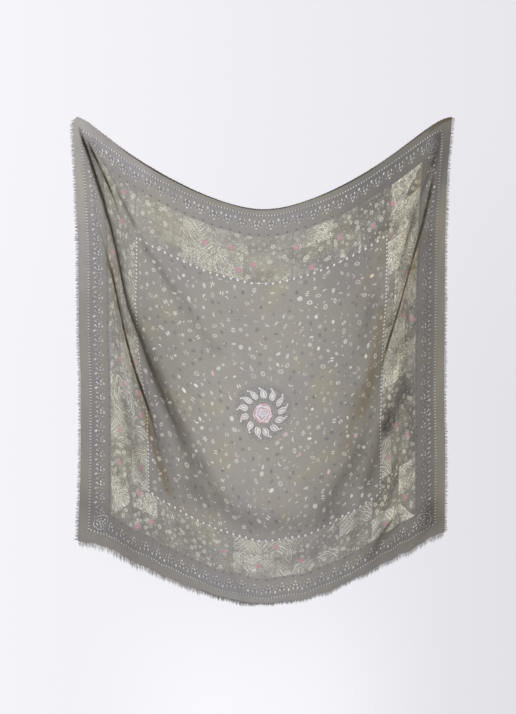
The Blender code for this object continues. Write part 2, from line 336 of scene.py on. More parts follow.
# Soft strokes of painted shade and light: from x, y to x, y in millimetres of the cloth from its middle, the
# half width, and the strength from 0 to 1
PAINTED_STROKES = {
    PaintedShadeOrLight.HOLLOW_SHADE: (
        (-530, -200, -465, -375, 24, 0.46), (-410, 415, -300, 325, 15, 0.34),
        (-285, 310, -155, 175, 26, 0.22), (-410, 50, -335, -60, 18, 0.16),
        (-328, -70, -215, -235, 26, 0.26), (-520, 525, -448, 470, 9, 0.62),
        (-265, -325, -30, -366, 44, 0.36), (-225, -230, -150, -310, 30, 0.34),
        (-680, -560, -510, -640, 44, 0.24), (55, -372, 255, -392, 40, 0.30),
        (637, 300, 625, -565, 30, 0.34), (540, 35, 530, -60, 20, 0.62), (540, -135, 455, -205, 30, 0.72),
        (455, -205, 385, -345, 36, 0.56), (345, -235, 215, -340, 38, 0.42),
        (520, -565, 400, -625, 16, 0.40), (642, -625, 642, -600, 36, 0.70),
        (440, -640, 670, -655, 46, 0.26), (650, 640, 635, 560, 22, 0.50), (378, 240, 358, 120, 32, 0.30),
        (537, 370, 505, 300, 20, 0.36),
    ),
    PaintedShadeOrLight.BROWN: (
        (-445, -180, -355, -380, 15, 0.75), (-595, 240, -470, -75, 11, 0.50),
        (-470, -75, -415, -230, 12, 0.40), (-580, 350, -475, 210, 10, 0.50), (570, 240, 505, 110, 15, 0.60),
        (425, 180, 390, 0, 20, 0.62), (382, -30, 355, -110, 24, 0.58), (335, -50, 305, -190, 30, 0.40),
    ),
    PaintedShadeOrLight.TAN: (
        (-138, -150, -140, -180, 40, 0.30), (-575, 275, -545, 180, 14, 0.60),
        (365, 315, 420, 430, 28, 0.36), (600, 320, 568, 236, 20, 0.60), (672, 420, 668, -620, 26, 0.32),
        (600, 590, 568, 505, 12, 0.50), (520, 500, 500, -555, 75, 0.22),
    ),
    PaintedShadeOrLight.RIDGE_HIGHLIGHT: (
        (-598, 580, -552, 505, 8, 0.75), (-475, 40, -438, -105, 10, 0.55), (-378, 380, -330, 310, 12, 0.34),
        (574, 240, 556, 135, 9, 0.45), (445, 30, 474, 85, 11, 0.45),
    ),
    PaintedShadeOrLight.PALE_LIGHT: (
        (-684, 620, -680, 150, 34, 0.40), (-670, 676, -420, 668, 36, 0.66),
    ),
}


class Ripple(NamedTuple):
    """A train of low waves in the hand of the cloth: waves across and down it, height and start."""

    across: float
    down: float
    height: float
    start: float


SWAY_ACROSS = 3.1
SWAY_DOWN = 2.3
RIPPLES = (
    Ripple(9.3, 2.1, 0.0007, 0.4),
    Ripple(6.1, -3.7, 0.0008, 2.2),
    Ripple(3.3, 7.9, 0.0006, 4.1),
    Ripple(14.7, 4.9, 0.0004, 1.3),
)


def smooth_step(low: float, high: float, at: Array) -> Array:
    """0 below low, 1 above high, and a soft S between them."""
    share = np.clip((at - low) / (high - low), 0.0, 1.0)
    return share * share * (3.0 - 2.0 * share)


def within(span: Span, at: Array) -> Array:
    """1 inside a span, 0 outside it, and soft at both ends."""
    return smooth_step(span.starts, span.full, at) * (1.0 - smooth_step(span.fades, span.ends, at))


def unit(vectors: Array) -> Array:
    """Vectors of length 1 in the same directions."""
    return vectors / np.linalg.norm(vectors, axis=-1, keepdims=True)


def through(places: Array, values: Array, at: Array) -> Array:
    """A smooth curve through values, one row for each place, read at other places.

    Between two places it is a cubic. Its slope at a place is the harmonic mean of the slopes on both
    sides, or level at a peak or a dip, so that it never swings past the values.

    Args:
        places: where the values stand, rising.
        values: one row for each place.
        at: where to read the curve.

    Returns:
        One row for each place that is read.
    """
    widths = np.diff(places).reshape((-1,) + (1,) * (values.ndim - 1))
    rates = np.diff(values, axis=0) / widths
    slopes = np.concatenate([rates[:1], rates, rates[-1:]])
    before, after = slopes[:-1], slopes[1:]
    same_way = before * after > 0.0
    slopes = np.where(same_way, 2.0 * before * after / np.where(same_way, before + after, 1.0), 0.0)
    cell = np.clip(np.searchsorted(places, at) - 1, 0, len(places) - 2)
    width = widths[cell]
    t = (at - places[cell]).reshape(width.shape) / width
    start, end = values[cell], values[cell + 1]
    bend = slopes[cell] * (1.0 - t) - slopes[cell + 1] * t
    return start + (end - start) * t * t * (3.0 - 2.0 * t) + bend * width * t * (1.0 - t)


@dataclass(frozen=True)
class HungCloth:
    """The form of the hung square: a surface of two shares, across from the left and down."""

    side: float = 1.38
    held_width: float = 1.226
    top_sag: float = 0.297
    bow_power: float = 1.5
    bow_rounding: float = 0.12
    bow_samples: int = 4001
    left_shoulder: tuple[float, float] = (0.011, 0.08)
    right_shoulder: tuple[float, float] = (0.022, 0.13)
    opening_at_corner: float = 0.45
    opening_per_metre: float = 0.8
    bow_length: float = 0.70
    # Place and width of the painted crease shade: the narrow line, and the softer shade in the hollow beside
    # it, which widens over hollow_grows
    line_place: float = 0.007
    line_width: float = 0.0080
    hollow_place: float = 0.006
    hollow_width: float = 0.012
    hollow_grows: Span = Span(0.28, 0.85, 9.0, 9.9)
    least_drop: float = 0.2
    softest_flank: float = 0.005
    stations: tuple[float, ...] = (0.0, 0.07, 0.187, 0.5, 0.813, 0.93, 1.0)

    def read_table(self, table: Sequence[Sequence[float]], across: Array,
                   down: Array) -> Array:
        """A table's values in metres on a grid, rows across and columns down."""
        rows = np.array(table)
        return through(np.array(self.stations), through(rows[:, 0], rows[:, 1:] / 1000.0, down).T, across)

    def top_hem(self, across: Array) -> tuple[Array, Array]:
        """X and Z of the top hem.

        It is a bow whose drop follows a power of the distance from the middle, rounded at its lowest
        point, with a low shoulder close to each held corner. A share across is a share of its length.

        Args:
            across: shares across the cloth.

        Returns:
            X and Z at those shares.
        """
        place = np.linspace(-1.0, 1.0, self.bow_samples)
        climb = np.hypot(place, self.bow_rounding) ** self.bow_power
        z = -self.top_sag * (climb.max() - climb) / (climb.max() - climb.min())
        for side, (height, peak) in ((-1.0, self.left_shoulder), (1.0, self.right_shoulder)):
            to_corner = (1.0 - side * place) / peak
            z = z + height * to_corner * np.exp(1.0 - to_corner)
        x = self.held_width / 2.0 * (1.0 + place)
        steps = np.hypot(np.diff(x), np.diff(z))
        share = np.concatenate([[0.0], np.cumsum(steps)]) / steps.sum()
        return np.interp(across, share, x), np.interp(across, share, z - z[0])

    def along_fold(self, fold: Fold, across: Array, down: Array) -> tuple[Array, ...]:
        """Where a grid of metres lies from a fold's line.

        Args:
            fold: the fold.
            across: metres across the cloth.
            down: metres down the cloth.

        Returns:
            Distance aside of the line as a share of the bell's half width there, that half width, and
            the distance along the line.
        """
        from_edge = across if fold.side is Edge.LEFT else self.side - across
        length = math.hypot(1.0, fold.slope)
        below = down - fold.drop
        along = (from_edge + fold.slope * below) / length
        bulge = np.sin(np.pi * np.clip(along / self.bow_length, 0.0, 1.0)) ** 2
        aside = (fold.slope * from_edge - below) / length + fold.bow * bulge
        opening = self.opening_at_corner + self.opening_per_metre * np.clip(along, 0.0, self.side)
        outer = np.maximum(fold.outer, self.softest_flank) * opening
        inner = np.maximum(fold.inner * opening, self.softest_flank)
        half_width = np.where(aside > 0.0, inner, outer)
        return aside / half_width, half_width, along

    def in_metres(self, across: Array, down: Array) -> list[Array]:
        """Metres across and down the flat cloth, on the grid of these shares."""
        return np.meshgrid(across * self.side, down * self.side, indexing="ij")

    def points(self, across: Array, down: Array) -> Array:
        """Points of the hung cloth on a grid.

        The tables give the sideways drift and the depth, to which the folds and the low ripples are
        added. The height starts on the bow of the top hem, and each step down a thread drops by what
        is left of its length once its sideways and depth parts are taken off. That length is the cut
        one and what GIVE says in thousandths: more where the hung weight draws threads out, and less
        where they take up in crinkles.

        Args:
            across: shares across, from the left edge.
            down: shares down, from the top hem.

        Returns:
            An array of rows across, columns down, and X, Y and Z.
        """
        x_top, z_top = self.top_hem(across)
        x = x_top[:, None] + self.read_table(DRIFT, across, down)
        y = self.read_table(DEPTH, across, down)
        metres_across, metres_down = self.in_metres(across, down)
        for fold in MAIN_FOLDS:
            aside, _, along = self.along_fold(fold, metres_across, metres_down)
            swell = within(Span(fold.starts, fold.full, fold.fades, fold.ends), along)
            y = y - fold.rise * swell * np.exp(-(aside**2))
        for ripple in RIPPLES:
            turn = ripple.across * metres_across + ripple.down * metres_down
            sway = 1.0 + np.sin(SWAY_DOWN * metres_down + SWAY_ACROSS * metres_across + ripple.start)
            y = y + ripple.height * sway * np.sin(TURN * turn + ripple.start)
        give = np.array(GIVE)
        give = through(give[:, 0], give[:, 1:], across)
        step = np.diff(down * self.side) * (1.0 + give / 1000.0)
        left_over = step**2 - np.diff(x, axis=1) ** 2 - np.diff(y, axis=1) ** 2
        drop = np.sqrt(np.maximum(left_over, (self.least_drop * step) ** 2))
        fallen = np.concatenate([np.zeros((len(across), 1)), np.cumsum(drop, axis=1)], axis=1)
        return np.stack([x, y, z_top[:, None] - fallen], axis=-1)

    def creases(self, across: Array, down: Array) -> tuple[Array, Array]:
        """The painted shade of the folds at each grid point.

        Each fold's line is a narrow bell of painted shade just inside it, and its hollow a softer bell
        of painted shade beside it that widens to three times its width along the fold.

        Args:
            across: shares across the cloth.
            down: shares down the cloth.

        Returns:
            The painted shade of the lines and of the hollow beside each fold, from 0 to 1.
        """
        metres_across, metres_down = self.in_metres(across, down)
        lines = hollows = np.zeros_like(metres_across)
        for fold in MAIN_FOLDS:
            crease = fold.crease
            if crease is None:
                continue
            aside, half_width, along = self.along_fold(fold, metres_across, metres_down)
            off = aside * half_width
            narrow = np.exp(-(((off - self.line_place) / self.line_width) ** 2))
            widens = 1.0 + 2.0 * within(self.hollow_grows, along)
            wide = np.exp(-((off / widens - self.hollow_place) / self.hollow_width) ** 2)
            lines = np.maximum(lines, crease.line * within(crease.line_span, along) * narrow)
            hollows = np.maximum(hollows, crease.hollow * within(crease.hollow_span, along) * wide)
        return lines, hollows

    def tints(self, across: Array, down: Array, hollows: Array) -> Array:
        """Factors of painted shade and light at each grid point: the shade beside the folds and every
        stroke, multiplied.

        A stroke's strength is a bell of the distance from the line between its ends.

        Args:
            across: shares across the cloth.
            down: shares down the cloth.
            hollows: the painted shade in the hollow beside each fold.

        Returns:
            Factors of red, green and blue at each grid point.
        """
        width = self.side * 1000.0
        x, y = np.meshgrid((across - 0.5) * width, (0.5 - down) * width, indexing="ij")
        tint = 1.0 + (np.array(PaintedShadeOrLight.HOLLOW_SHADE.value) - 1.0) * hollows[..., None]
        for tone, strokes in PAINTED_STROKES.items():
            for from_x, from_y, to_x, to_y, half_width, much in strokes:
                run_x, run_y = to_x - from_x, to_y - from_y
                share = ((x - from_x) * run_x + (y - from_y) * run_y) / (run_x**2 + run_y**2)
                share = np.clip(share, 0.0, 1.0)
                off = np.hypot(x - from_x - share * run_x, y - from_y - share * run_y) / half_width
                bell = much * np.exp(-(off**2))[..., None]
                tint = tint * (1.0 + (np.array(tone.value) - 1.0) * bell)
        return tint

    def normals(self, points: Array, across: Array, down: Array) -> Array:
        """Unit normals that look towards the viewer, from the slopes both ways."""
        run_across = np.gradient(points, across, axis=0)
        run_down = np.gradient(points, down, axis=1)
        return unit(np.cross(run_down, run_across))


def placed(name: str, data: bpy.types.ID) -> bpy.types.Object:
    """A named object of this data, linked to the scene."""
    made = bpy.data.objects.new(name, data)
    bpy.context.scene.collection.objects.link(made)
    return made


def mesh_object(name: str, points: Array, faces: Array) -> bpy.types.Object:
    """A smooth named object from points and faces of equally many corners.

    Args:
        name: the piece's name.
        points: one row for each point.
        faces: one row of point numbers for each face.

    Returns:
        The object, linked to the scene.
    """
    mesh = bpy.data.meshes.new(name)
    count, corners = faces.shape
    mesh.vertices.add(len(points))
    mesh.vertices.foreach_set("co", points.astype(np.float32).ravel())
    mesh.loops.add(count * corners)
    mesh.loops.foreach_set("vertex_index", faces.astype(np.int32).ravel())
    mesh.polygons.add(count)
    mesh.polygons.foreach_set("loop_start", np.arange(0, count * corners, corners, dtype=np.int32))
    mesh.polygons.foreach_set("use_smooth", np.ones(count, dtype=bool))
    mesh.update(calc_edges=True)
    mesh.validate()
    return placed(name, mesh)


# The print


@dataclass(frozen=True)
class PrintColours:
    """Colours of the faded print, as light returned by the cloth."""

    ground: Colour = (0.342, 0.322, 0.286)
    warm: Colour = (0.385, 0.355, 0.265)
    sage: Colour = (0.330, 0.340, 0.255)
    cool: Colour = (0.302, 0.290, 0.282)
    margin: Colour = (0.350, 0.333, 0.303)
    violet: Colour = (0.254, 0.244, 0.252)
    lilac: Colour = (0.700, 0.680, 0.730)
    ink: Colour = (0.780, 0.765, 0.735)
    cream: Colour = (0.740, 0.710, 0.600)
    pale: Colour = (0.500, 0.485, 0.410)
    dusk: Colour = (0.165, 0.160, 0.180)
    seam: Colour = (0.225, 0.220, 0.200)
    rose: Colour = (0.485, 0.280, 0.300)
    deep_rose: Colour = (0.360, 0.190, 0.215)
    blush: Colour = (0.700, 0.510, 0.530)
    murk: Colour = (0.165, 0.150, 0.132)
    leaf: Colour = (0.300, 0.350, 0.285)
    # umber and olive are painted shade for the crease lines and the rolled hems
    shade_umber: Colour = (0.120, 0.098, 0.062)
    shade_olive: Colour = (0.026, 0.022, 0.013)


class Region(Enum):
    """Parts of the print, from the cut edge inwards, each with its own finish."""

    BORDER = "border"
    PATCHES = "patches"
    FIELD = "field"
    MEDALLION = "medallion"


class Face(Enum):
    """The two faces of the cloth."""

    FRONT = "front"
    BACK = "back"


class Cell(NamedTuple):
    """One place of a scattered lattice: the point seen from it, its own middle and its chances."""

    x: Channel
    y: Channel
    middle_x: Channel
    middle_y: Channel
    chances: list[Channel]

    def turned(self) -> tuple[Channel, Channel]:
        """The point as seen from the place when its axes are turned by its last chance."""
        angle = self.chances[3] * TURN
        cosine, sine = angle.cos(), angle.sin()
        return self.x * cosine + self.y * sine, self.y * cosine - self.x * sine


class Sheet:
    """The print at one point of the cloth: where that is, and the colour laid there so far.

    x and y are millimetres right of and above the print's middle, inset is from the cut edge inwards,
    along runs along the nearest side, and flat is the point on the cloth in metres.
    """

    def __init__(self, g: Graph, plan: "ScarfPrint") -> None:
        """Reads the point from the cloth's map.

        The print is a little narrower than the cloth and a little higher, most of all below its middle.
        """
        across, down, _ = g.parts(g.node("ShaderNodeUVMap", {"uv_map": CLOTH_MAP}))
        x, y = (across - 0.5) * plan.side, (0.5 - down) * plan.side
        self.flat = g.point(x / 1000.0, y / 1000.0)
        self.x = x * plan.side_scale
        self.y = y * ((y > 0.0) * (plan.top_scale - plan.bottom_scale) + plan.bottom_scale)
        wide, high = abs(self.x), abs(self.y)
        self.inset = plan.side / 2.0 - wide.most(high)
        self.upright = wide > high
        self.along = self.y * self.upright + self.x * (1.0 - self.upright)
        self.g = g
        self.colour: Any = plan.colours.ground

    def lay(self, colour: Any, mask: Any) -> None:
        """Lays a colour over the rest where the mask is 1."""
        self.colour = self.g.paint(self.colour, colour, mask)

    def cloud(self, scale: float, detail: float = 2.0, roughness: float = 0.5) -> Channel:
        """Soft noise on the flat cloth."""
        return self.g.cloud(self.flat, scale, detail, roughness)


@dataclass(frozen=True)
class ScarfPrint:
    """The print of the square, in millimetres from its middle.

    A plain margin, a line of fine dots, a garland of small trefoils, a line of dark dots, a band of
    worn patches with roses, a line of beads, and a field of scattered marks round a ring of paisleys.
    """

    side: float = 1380.0
    side_scale: float = 0.9957
    top_scale: float = 1.0036
    bottom_scale: float = 1.0138
    lean: float = 0.6
    margin: float = 31.5
    fine_step: float = 9.8
    garland_step: float = 47.0
    dark_line: float = 97.0
    dark_step: float = 31.0
    band_starts: float = 103.0
    band_ends: float = 254.0
    patch_length: float = 128.0
    split_from: float = 146.0
    split_spread: float = 66.0
    line_step: float = 8.4
    speck_step: float = 10.5
    pebble_step: float = 22.5
    flower_step: float = 47.0
    rose_step: float = 104.0
    mark_step: float = 31.5
    mark_size: float = 8.2
    dot_step: float = 29.0
    bead_line: float = 258.0
    bead_step: float = 22.6
    side_bead_step: float = 12.8
    field_starts: float = 267.0
    open_radius: float = 106.0
    corner_inset: float = 68.0
    paisleys: int = 13
    ring_radius: float = 66.0
    rosette: float = 31.0
    colours: PrintColours = field(default_factory=PrintColours)

    def lattice(self, g: Graph, x: Channel, y: Channel, pitch: float, turn: float, loose: float,
                salt: float) -> Cell:
        """The nearest place of a turned brick lattice whose places wander.

        The cloth hangs on the skew away from its middle. Marks lean the other way there, in proportion
        to how far off they are, so that they look upright.

        Args:
            g: the material's graph.
            x: millimetres to the right of the middle.
            y: millimetres up from the middle.
            pitch: spacing of the places.
            turn: turn of the lattice, in radians.
            loose: how far places wander, as a share of the pitch.
            salt: number that sets this lattice's chances apart.

        Returns:
            The place.
        """
        cosine, sine = math.cos(turn), math.sin(turn)
        p = (x * cosine + y * sine) / pitch
        q = (y * cosine - x * sine) / pitch
        row = q.floor()
        p = p + (row % 2) * 0.5
        column = p.floor()
        chances = g.chances(column, row, salt)
        at_p = (chances[0] - 0.5) * loose + 0.5
        at_q = (chances[1] - 0.5) * loose + 0.5
        local_x = (p - column - at_p) * pitch
        local_y = (q - row - at_q) * pitch
        aside = local_x * cosine - local_y * sine
        above = local_y * cosine + local_x * sine
        middle_x = x - aside
        leaned = above + aside * middle_x * (self.lean / self.side * 2)
        return Cell(aside, leaned, middle_x, y - above, chances)

    def small_marks(self, g: Graph, cell: Cell, size: float) -> tuple[Channel, Channel]:
        """Small hand-drawn marks: ovals and rings, twin strokes, commas and five-point stars.

        An oval is an ellipse, a ring leaves its core out, twin strokes are one stroke mirrored about
        the long axis, a comma is a bent and tapered stroke, and a star is a circle whose radius
        swings five times a turn.

        Args:
            g: the material's graph.
            cell: the lattice place.
            size: half the length of a mark, in millimetres.

        Returns:
            The mark's mask, and a chance that belongs to the mark.
        """
        first, second, third, fourth = cell.chances
        kind = (third * 7) % 1
        grown = size * (first * 0.55 + 0.72)
        p, q = cell.turned()
        oval = g.reach(p / grown, q / (grown * (second * 0.4 + 0.46)))
        hollow = oval.fall(0.44, 0.7) * (((fourth * 13) % 1) > 0.42)
        ovals = (oval.fall(0.76, 1.12) - hollow * 0.85) * (kind < 0.46)
        strokes = g.reach(p / (grown * 0.78), (abs(q) - grown * 0.42) / (grown * 0.24)).fall(0.7, 1.15)
        strokes = strokes * kind.between(0.46, 0.64, 0.0005)
        sag = (p / grown) ** 2
        width = (p / grown * 0.55 + 1) * 0.26
        comma = g.reach(p / (grown * 1.05), (q / grown - sag * 0.45 + 0.2) / width).fall(0.75, 1.12)
        comma = comma * kind.between(0.64, 0.86, 0.0005)
        spokes = (q.angle_to(p) * 5).cos()
        star = (g.reach(p, q) - grown * (spokes * 0.26 + 0.62)) / grown
        stars = (star.fall(-0.12, 0.1) - star.fall(-0.46, -0.26) * 0.7) * (kind > 0.84)
        return ovals.most(strokes).most(comma.most(stars)), (first * 17 + third) % 1

    def ground(self, on: Sheet) -> None:
        """The warm grey ground with its cloudy tints, the paler margin, and painted shade towards the sides
        and the foot.
        """
        g, c, lay, x, y, inset = on.g, self.colours, on.lay, on.x, on.y, on.inset
        clouds = on.cloud(3.6, 3)
        moved = g.node("ShaderNodeVectorMath", {"operation": "ADD"}, {0: on.flat, 1: (4.3, 1.9, 0)})
        stains = g.cloud(moved, 5.2, 3)
        lay(c.cool, clouds.fall(0.36, 0.52) * 0.62)
        lay(c.sage, clouds.rise(0.54, 0.7) * 0.17)
        lay(c.warm, stains.rise(0.52, 0.68) * 0.58)
        lay(c.warm, x.rise(150, 560) * 0.22)
        lay(c.margin, inset.fall(self.margin - 6, self.margin + 2) * 0.35)
        lay(c.violet, inset.between(self.margin + 1, 62, 5) * 0.5)
        lay(c.violet, inset.between(62, 104, 5) * 0.2)
        lay(c.violet, abs(inset - self.dark_line).fall(2, 10) * (on.upright * 0.3 + 0.12))
        # Painted shade: darker towards the left and right sides, in the top border towards the right, and
        # towards the bottom
        left = x.fall(-420, -60) * y.fall(60, 620) * 0.21
        right = x.rise(20, 400) * (y.rise(300, 600) * 0.09 + 0.24)
        rim = inset.fall(100, 112) * y.rise(400, 620) * (x.rise(100, 500) * 0.06 + 0.04)
        on.colour = g.shade(on.colour, 1 - left - right - rim - y.fall(-600, 0) * 0.07)

    def border(self, on: Sheet) -> None:
        """The dotted line, the garland of trefoils over strokes and spots, and the dark dots.

        Each trefoil is three dots round a thin loop and points inwards. One repeat is folded about its
        middle, so that both of its halves are alike.
        """
        g, c, lay, cloud = on.g, self.colours, on.lay, on.cloud
        inset, along, upright = on.inset, on.along, on.upright
        uneven = cloud(42, 1).rise(0.36, 0.58) * 0.5 + 0.5
        patchy = cloud(12).rise(0.38, 0.56) * 0.35 + 0.65
        step = (along % self.fine_step) - self.fine_step / 2
        lay(c.dusk, abs(inset - self.margin).fall(2.2, 5) * 0.5)
        fine = g.reach(step / 0.75, (inset - self.margin) / (upright * 0.35 + 1.15)).fall(1.6, 3.1)
        lay(c.ink, fine * (uneven * 0.45 + 0.5) * patchy * (1 - upright * 0.3))
        half = abs((along % self.garland_step) - self.garland_step / 2)
        knots = g.reach(half - 5.2, inset - 65).fall(1.7, 3.4)
        tip = g.reach(half, inset - 76.5).fall(1.7, 3.5)
        loop = abs(g.reach(half / 5.2, (inset - 70) / 6.4) - 1).fall(0.12, 0.36)
        stroke = g.reach((half - 7.2) / 2.7, (inset - 53.5 - (half - 7.2) * 0.9) / 4.6).fall(0.6, 1.2)
        spot = g.reach((half - 23.5) / 3.6, (inset - 49.5) / 4.7).fall(0.6, 1.2)
        away = 1 - self.corner_spot(on).fall(28, 32)
        lay(c.dusk, g.reach(half / 1.3, inset - 62).fall(7, 15) * away * 0.42)
        grains = g.reach(half - 14, inset - 71).fall(1, 2.3)
        grains = grains.most(g.reach(half - 17.5, inset - 59.5).fall(0.8, 2.1))
        drawn = knots.most(tip).most((loop * 0.3).most(grains * 0.9)).most(stroke.most(spot) * 0.9)
        lay(c.ink, drawn * uneven * patchy * away * 0.95)
        dark = g.reach(((along % self.dark_step) - self.dark_step / 2) / 1.35, inset - self.dark_line)
        lay(c.dusk, dark.fall(1.9, 4) * 0.95)

    def corner_spot(self, on: Sheet) -> Channel:
        """Millimetres from the middle of the border's nearest corner rosette."""
        middle = self.side / 2 - self.corner_inset
        aside = abs(on.x) - middle
        above = (abs(on.y) - middle) * ((on.y > 0) * 2 - 1)
        return on.g.reach(aside, above + aside * (self.lean * 0.9))

    def corner_rosette(self, on: Sheet) -> None:
        """A small plain rosette in each corner of the border: dots and a flower in a thin ring."""
        g, c, lay, x, y = on.g, self.colours, on.lay, on.x, on.y
        middle = self.side / 2 - self.corner_inset
        angle = (abs(y) - middle).angle_to(abs(x) - middle)
        reach = self.corner_spot(on)
        lay(c.dusk, reach.fall(20, 34) * 0.45)
        worn = g.cloud(g.point(x / 1000, y / 1000), 60, 2).rise(0.4, 0.56) * 0.6 + 0.4
        ring = abs(reach - 23).fall(0.7, 2.2) * 0.55
        inner = (angle * 8).cos() * 2.2 - abs(reach - 14)
        petals = reach - ((angle * 5).cos() * 2.2 + 5.6)
        drawn = ring.most(inner.rise(-1.2, 0.4) * 0.8).most(abs(petals).fall(0.6, 2.2) * 0.8)
        lay(c.ink, drawn * worn * (1 - (y > 0) * 0.45))

    def painted_hem_shade(self, on: Sheet) -> None:
        """Painted shade: the dark lines where the top hem and the lowest part of the bottom hem roll over.

        The top hem's right corner, which is turned over, gets painted shade too.
        """
        c, lay, x, y = self.colours, on.lay, on.x, on.y
        below_hem = self.side / 2 * self.top_scale - y
        uneven = on.cloud(5, 3).rise(0.36, 0.58)
        right = x.rise(-560, -430)
        lay(c.shade_umber, below_hem.fall(5, 10) * right * (uneven * 0.4 + 0.45))
        lay(c.shade_olive, (below_hem - uneven * 3).fall(1.2, 4.4) * right * (uneven * 0.4 + 0.5))
        corner = (below_hem + x * 0.15).fall(109, 117) * x.rise(596, 622)
        lay(c.shade_umber, corner * (uneven * 0.2 + 0.62))
        above_foot = self.side / 2 * self.bottom_scale + y
        foot = above_foot.fall(2, 7) * x.between(-230, 60, 45)
        lay(c.shade_umber, foot * (uneven * 0.5 + 0.45))

    def patches(self, on: Sheet) -> None:
        """The band of worn patches.

        The band is cut across at uneven places and once along each piece. A patch is either lit, with
        nested arcs, chevrons or scribbled lines in cream, or dim, with pebbles and small flowers.
        """
        g, c, lay, cloud = on.g, self.colours, on.lay, on.cloud
        x, y, inset, along = on.x, on.y, on.inset, on.along
        facing = x * on.upright + y * (1 - on.upright)
        side = on.upright * 2 + (facing > 0)
        band = inset.between(self.band_starts, self.band_ends, 2)
        shifted = along + (along / 71 + side * 2.1).sin() * 24
        cell = shifted / self.patch_length + side * 9.3
        index = cell.floor()
        inside = cell - index
        row_chance = g.chances(index, side, 3)
        split = row_chance[0] * self.split_spread + self.split_from
        lower = inset > split
        chances = g.chances(index, side, lower + 11)
        right = x.rise(250, 520)
        foot = y.fall(-520, -420)
        lit = (chances[0] < right * 0.24 + foot * 0.16 + 0.42) * (chances[3] * 0.6 + 0.72).least(1)
        worn = cloud(13, 5, 0.68)
        body = (worn + (inset - 180) / 1400 + right * 0.03).rise(0.34, 0.54)
        # Lines of the lit patches: one phase whose level lines are arcs or chevrons, drawn by hand
        warp = (cloud(30, 3) - 0.5) * 30
        a = (inside - 0.5) * self.patch_length
        b = inset - split - (lower - 0.5) * 60
        arcs = g.reach(a * 0.9, b + 18)
        chevrons = abs(a) * 0.8 + b
        pick = chances[1] < 0.5
        phase = (arcs * pick + chevrons * (1 - pick) + warp) / self.line_step
        row = phase.floor()
        solid = abs(phase - row - 0.5).fall(0.16, 0.34)
        dashes = ((a + b + warp + row * 3.1) * (TURN / 8)).sin().rise(-0.3, 0.4)
        lines = solid * (1 - (row % 2) * (1 - dashes))
        scribble = (cloud(78, 1) * 34).sin().rise(-0.1, 0.4)
        drawn = lines * (chances[2] < 0.5) + scribble * (1 - (chances[2] < 0.5))
        glow = lit * band * body
        murk = cloud(8.5, 3, 0.6).rise(0.44, 0.58) * (right * 0.72 + 0.3)
        lay(c.murk, murk * band * (1 - glow * 0.7))
        lay(c.murk, glow * (1 - drawn) * (right * 0.3 + 0.3))
        lay(c.pale, glow * (worn.rise(0.44, 0.66) * 0.5 + 0.1 + right * 0.3))
        thread = g.paint(c.cream, c.ink, y.fall(-620, -420) * 0.55)
        thread = g.shade(thread, right * 0.2 + 1)
        lay(thread, glow * drawn * (worn.rise(0.38, 0.58) * 0.3 + 0.7))
        engraved = cloud(260, 2, 0.6).fall(0.38, 0.46)
        lay(c.murk, glow * engraved * (right * 0.35 + 0.3))
        # Dim patches
        dim = (1 - lit * body * 0.85) * band
        grain = self.lattice(g, x, y, self.speck_step, 0.9, 0.6, 37)
        speck = g.reach(grain.x, grain.y).fall(1, 2.2) * (grain.chances[3] > 0.45)
        lay(c.pale, speck * dim * 0.7)
        etched = (cloud(64) * 46).sin().rise(0.25, 0.85) * cloud(19).rise(0.44, 0.58)
        lay(c.pale, etched * dim * 0.55)
        pebble = self.lattice(g, x, y, self.pebble_step, 0.6, 0.5, 31)
        p, q = pebble.turned()
        grown = pebble.chances[2] ** 1.5 * 6.6 + 3
        oval = g.reach(p / grown, (q + p * p / (grown * 2.6)) / (grown * 0.72))
        core = oval.fall(0.46, 0.7) - oval.fall(0.16, 0.3)
        stone = oval.fall(0.86, 1.12) - core * (pebble.chances[0] > 0.45) * 0.75
        tone = g.paint(c.pale, c.leaf, pebble.chances[1].rise(0.55, 0.75) * 0.28)
        tone = g.paint(tone, c.cream, (pebble.chances[3] > 0.76) * 0.8)
        lay(tone, stone * dim * (pebble.chances[1] > 0.16) * 0.72)
        flower = self.lattice(g, x, y, self.flower_step, 0.2, 0.5, 47)
        spokes = (flower.y.angle_to(flower.x) * 5 + flower.chances[2] * TURN).cos()
        reach = g.reach(flower.x, flower.y)
        petals = reach - (spokes * 1.6 + 7)
        petals = petals.fall(-1, 0.6) - petals.fall(-3.8, -2.4) * 0.7
        lay(c.cream, petals * dim * (flower.chances[3] > 0.3) * 0.7)
        # Seams between the patches
        seam = abs(inside - 0.5).rise(0.482, 0.492).most(abs(inset - split).fall(0.8, 1.8)) * band
        lay(c.seam, seam * 0.5)

    def roses(self, on: Sheet) -> None:
        """Roses over the patches, each a ruffled disc with a swirl of petals between two leaves."""
        g, c, lay, x, y = on.g, self.colours, on.lay, on.x, on.y
        place = self.lattice(g, x, y, self.rose_step, 0.35, 0.7, 5)
        from_edge = self.side / 2 - abs(place.middle_x).most(abs(place.middle_y))
        here = from_edge.between(106, 244, 2) * (place.chances[3] > 0.25)
        reach = g.reach(place.x, place.y)
        angle = place.y.angle_to(place.x)
        leaves = reach.between(10.5, 18.5, 1.4) * (angle * 2 + place.chances[2] * TURN).cos().rise(0.4, 0.75)
        lay(c.leaf, leaves * here * 0.75)
        rose = reach - ((angle * 5 + place.chances[2] * 9).cos() * 0.9 + 11.4)
        lay(c.rose, rose.fall(-3.2, 1.8) * here * 0.78)
        swirl = (reach * 1.1 + angle + (angle * 3).cos() * 0.7).sin()
        lay(c.deep_rose, swirl.rise(0.2, 0.8) * rose.fall(-2.6, -1.2) * here * 0.55)
        lay(c.blush, swirl.fall(-0.8, -0.3) * rose.fall(-2.6, -1.2) * here * 0.45)

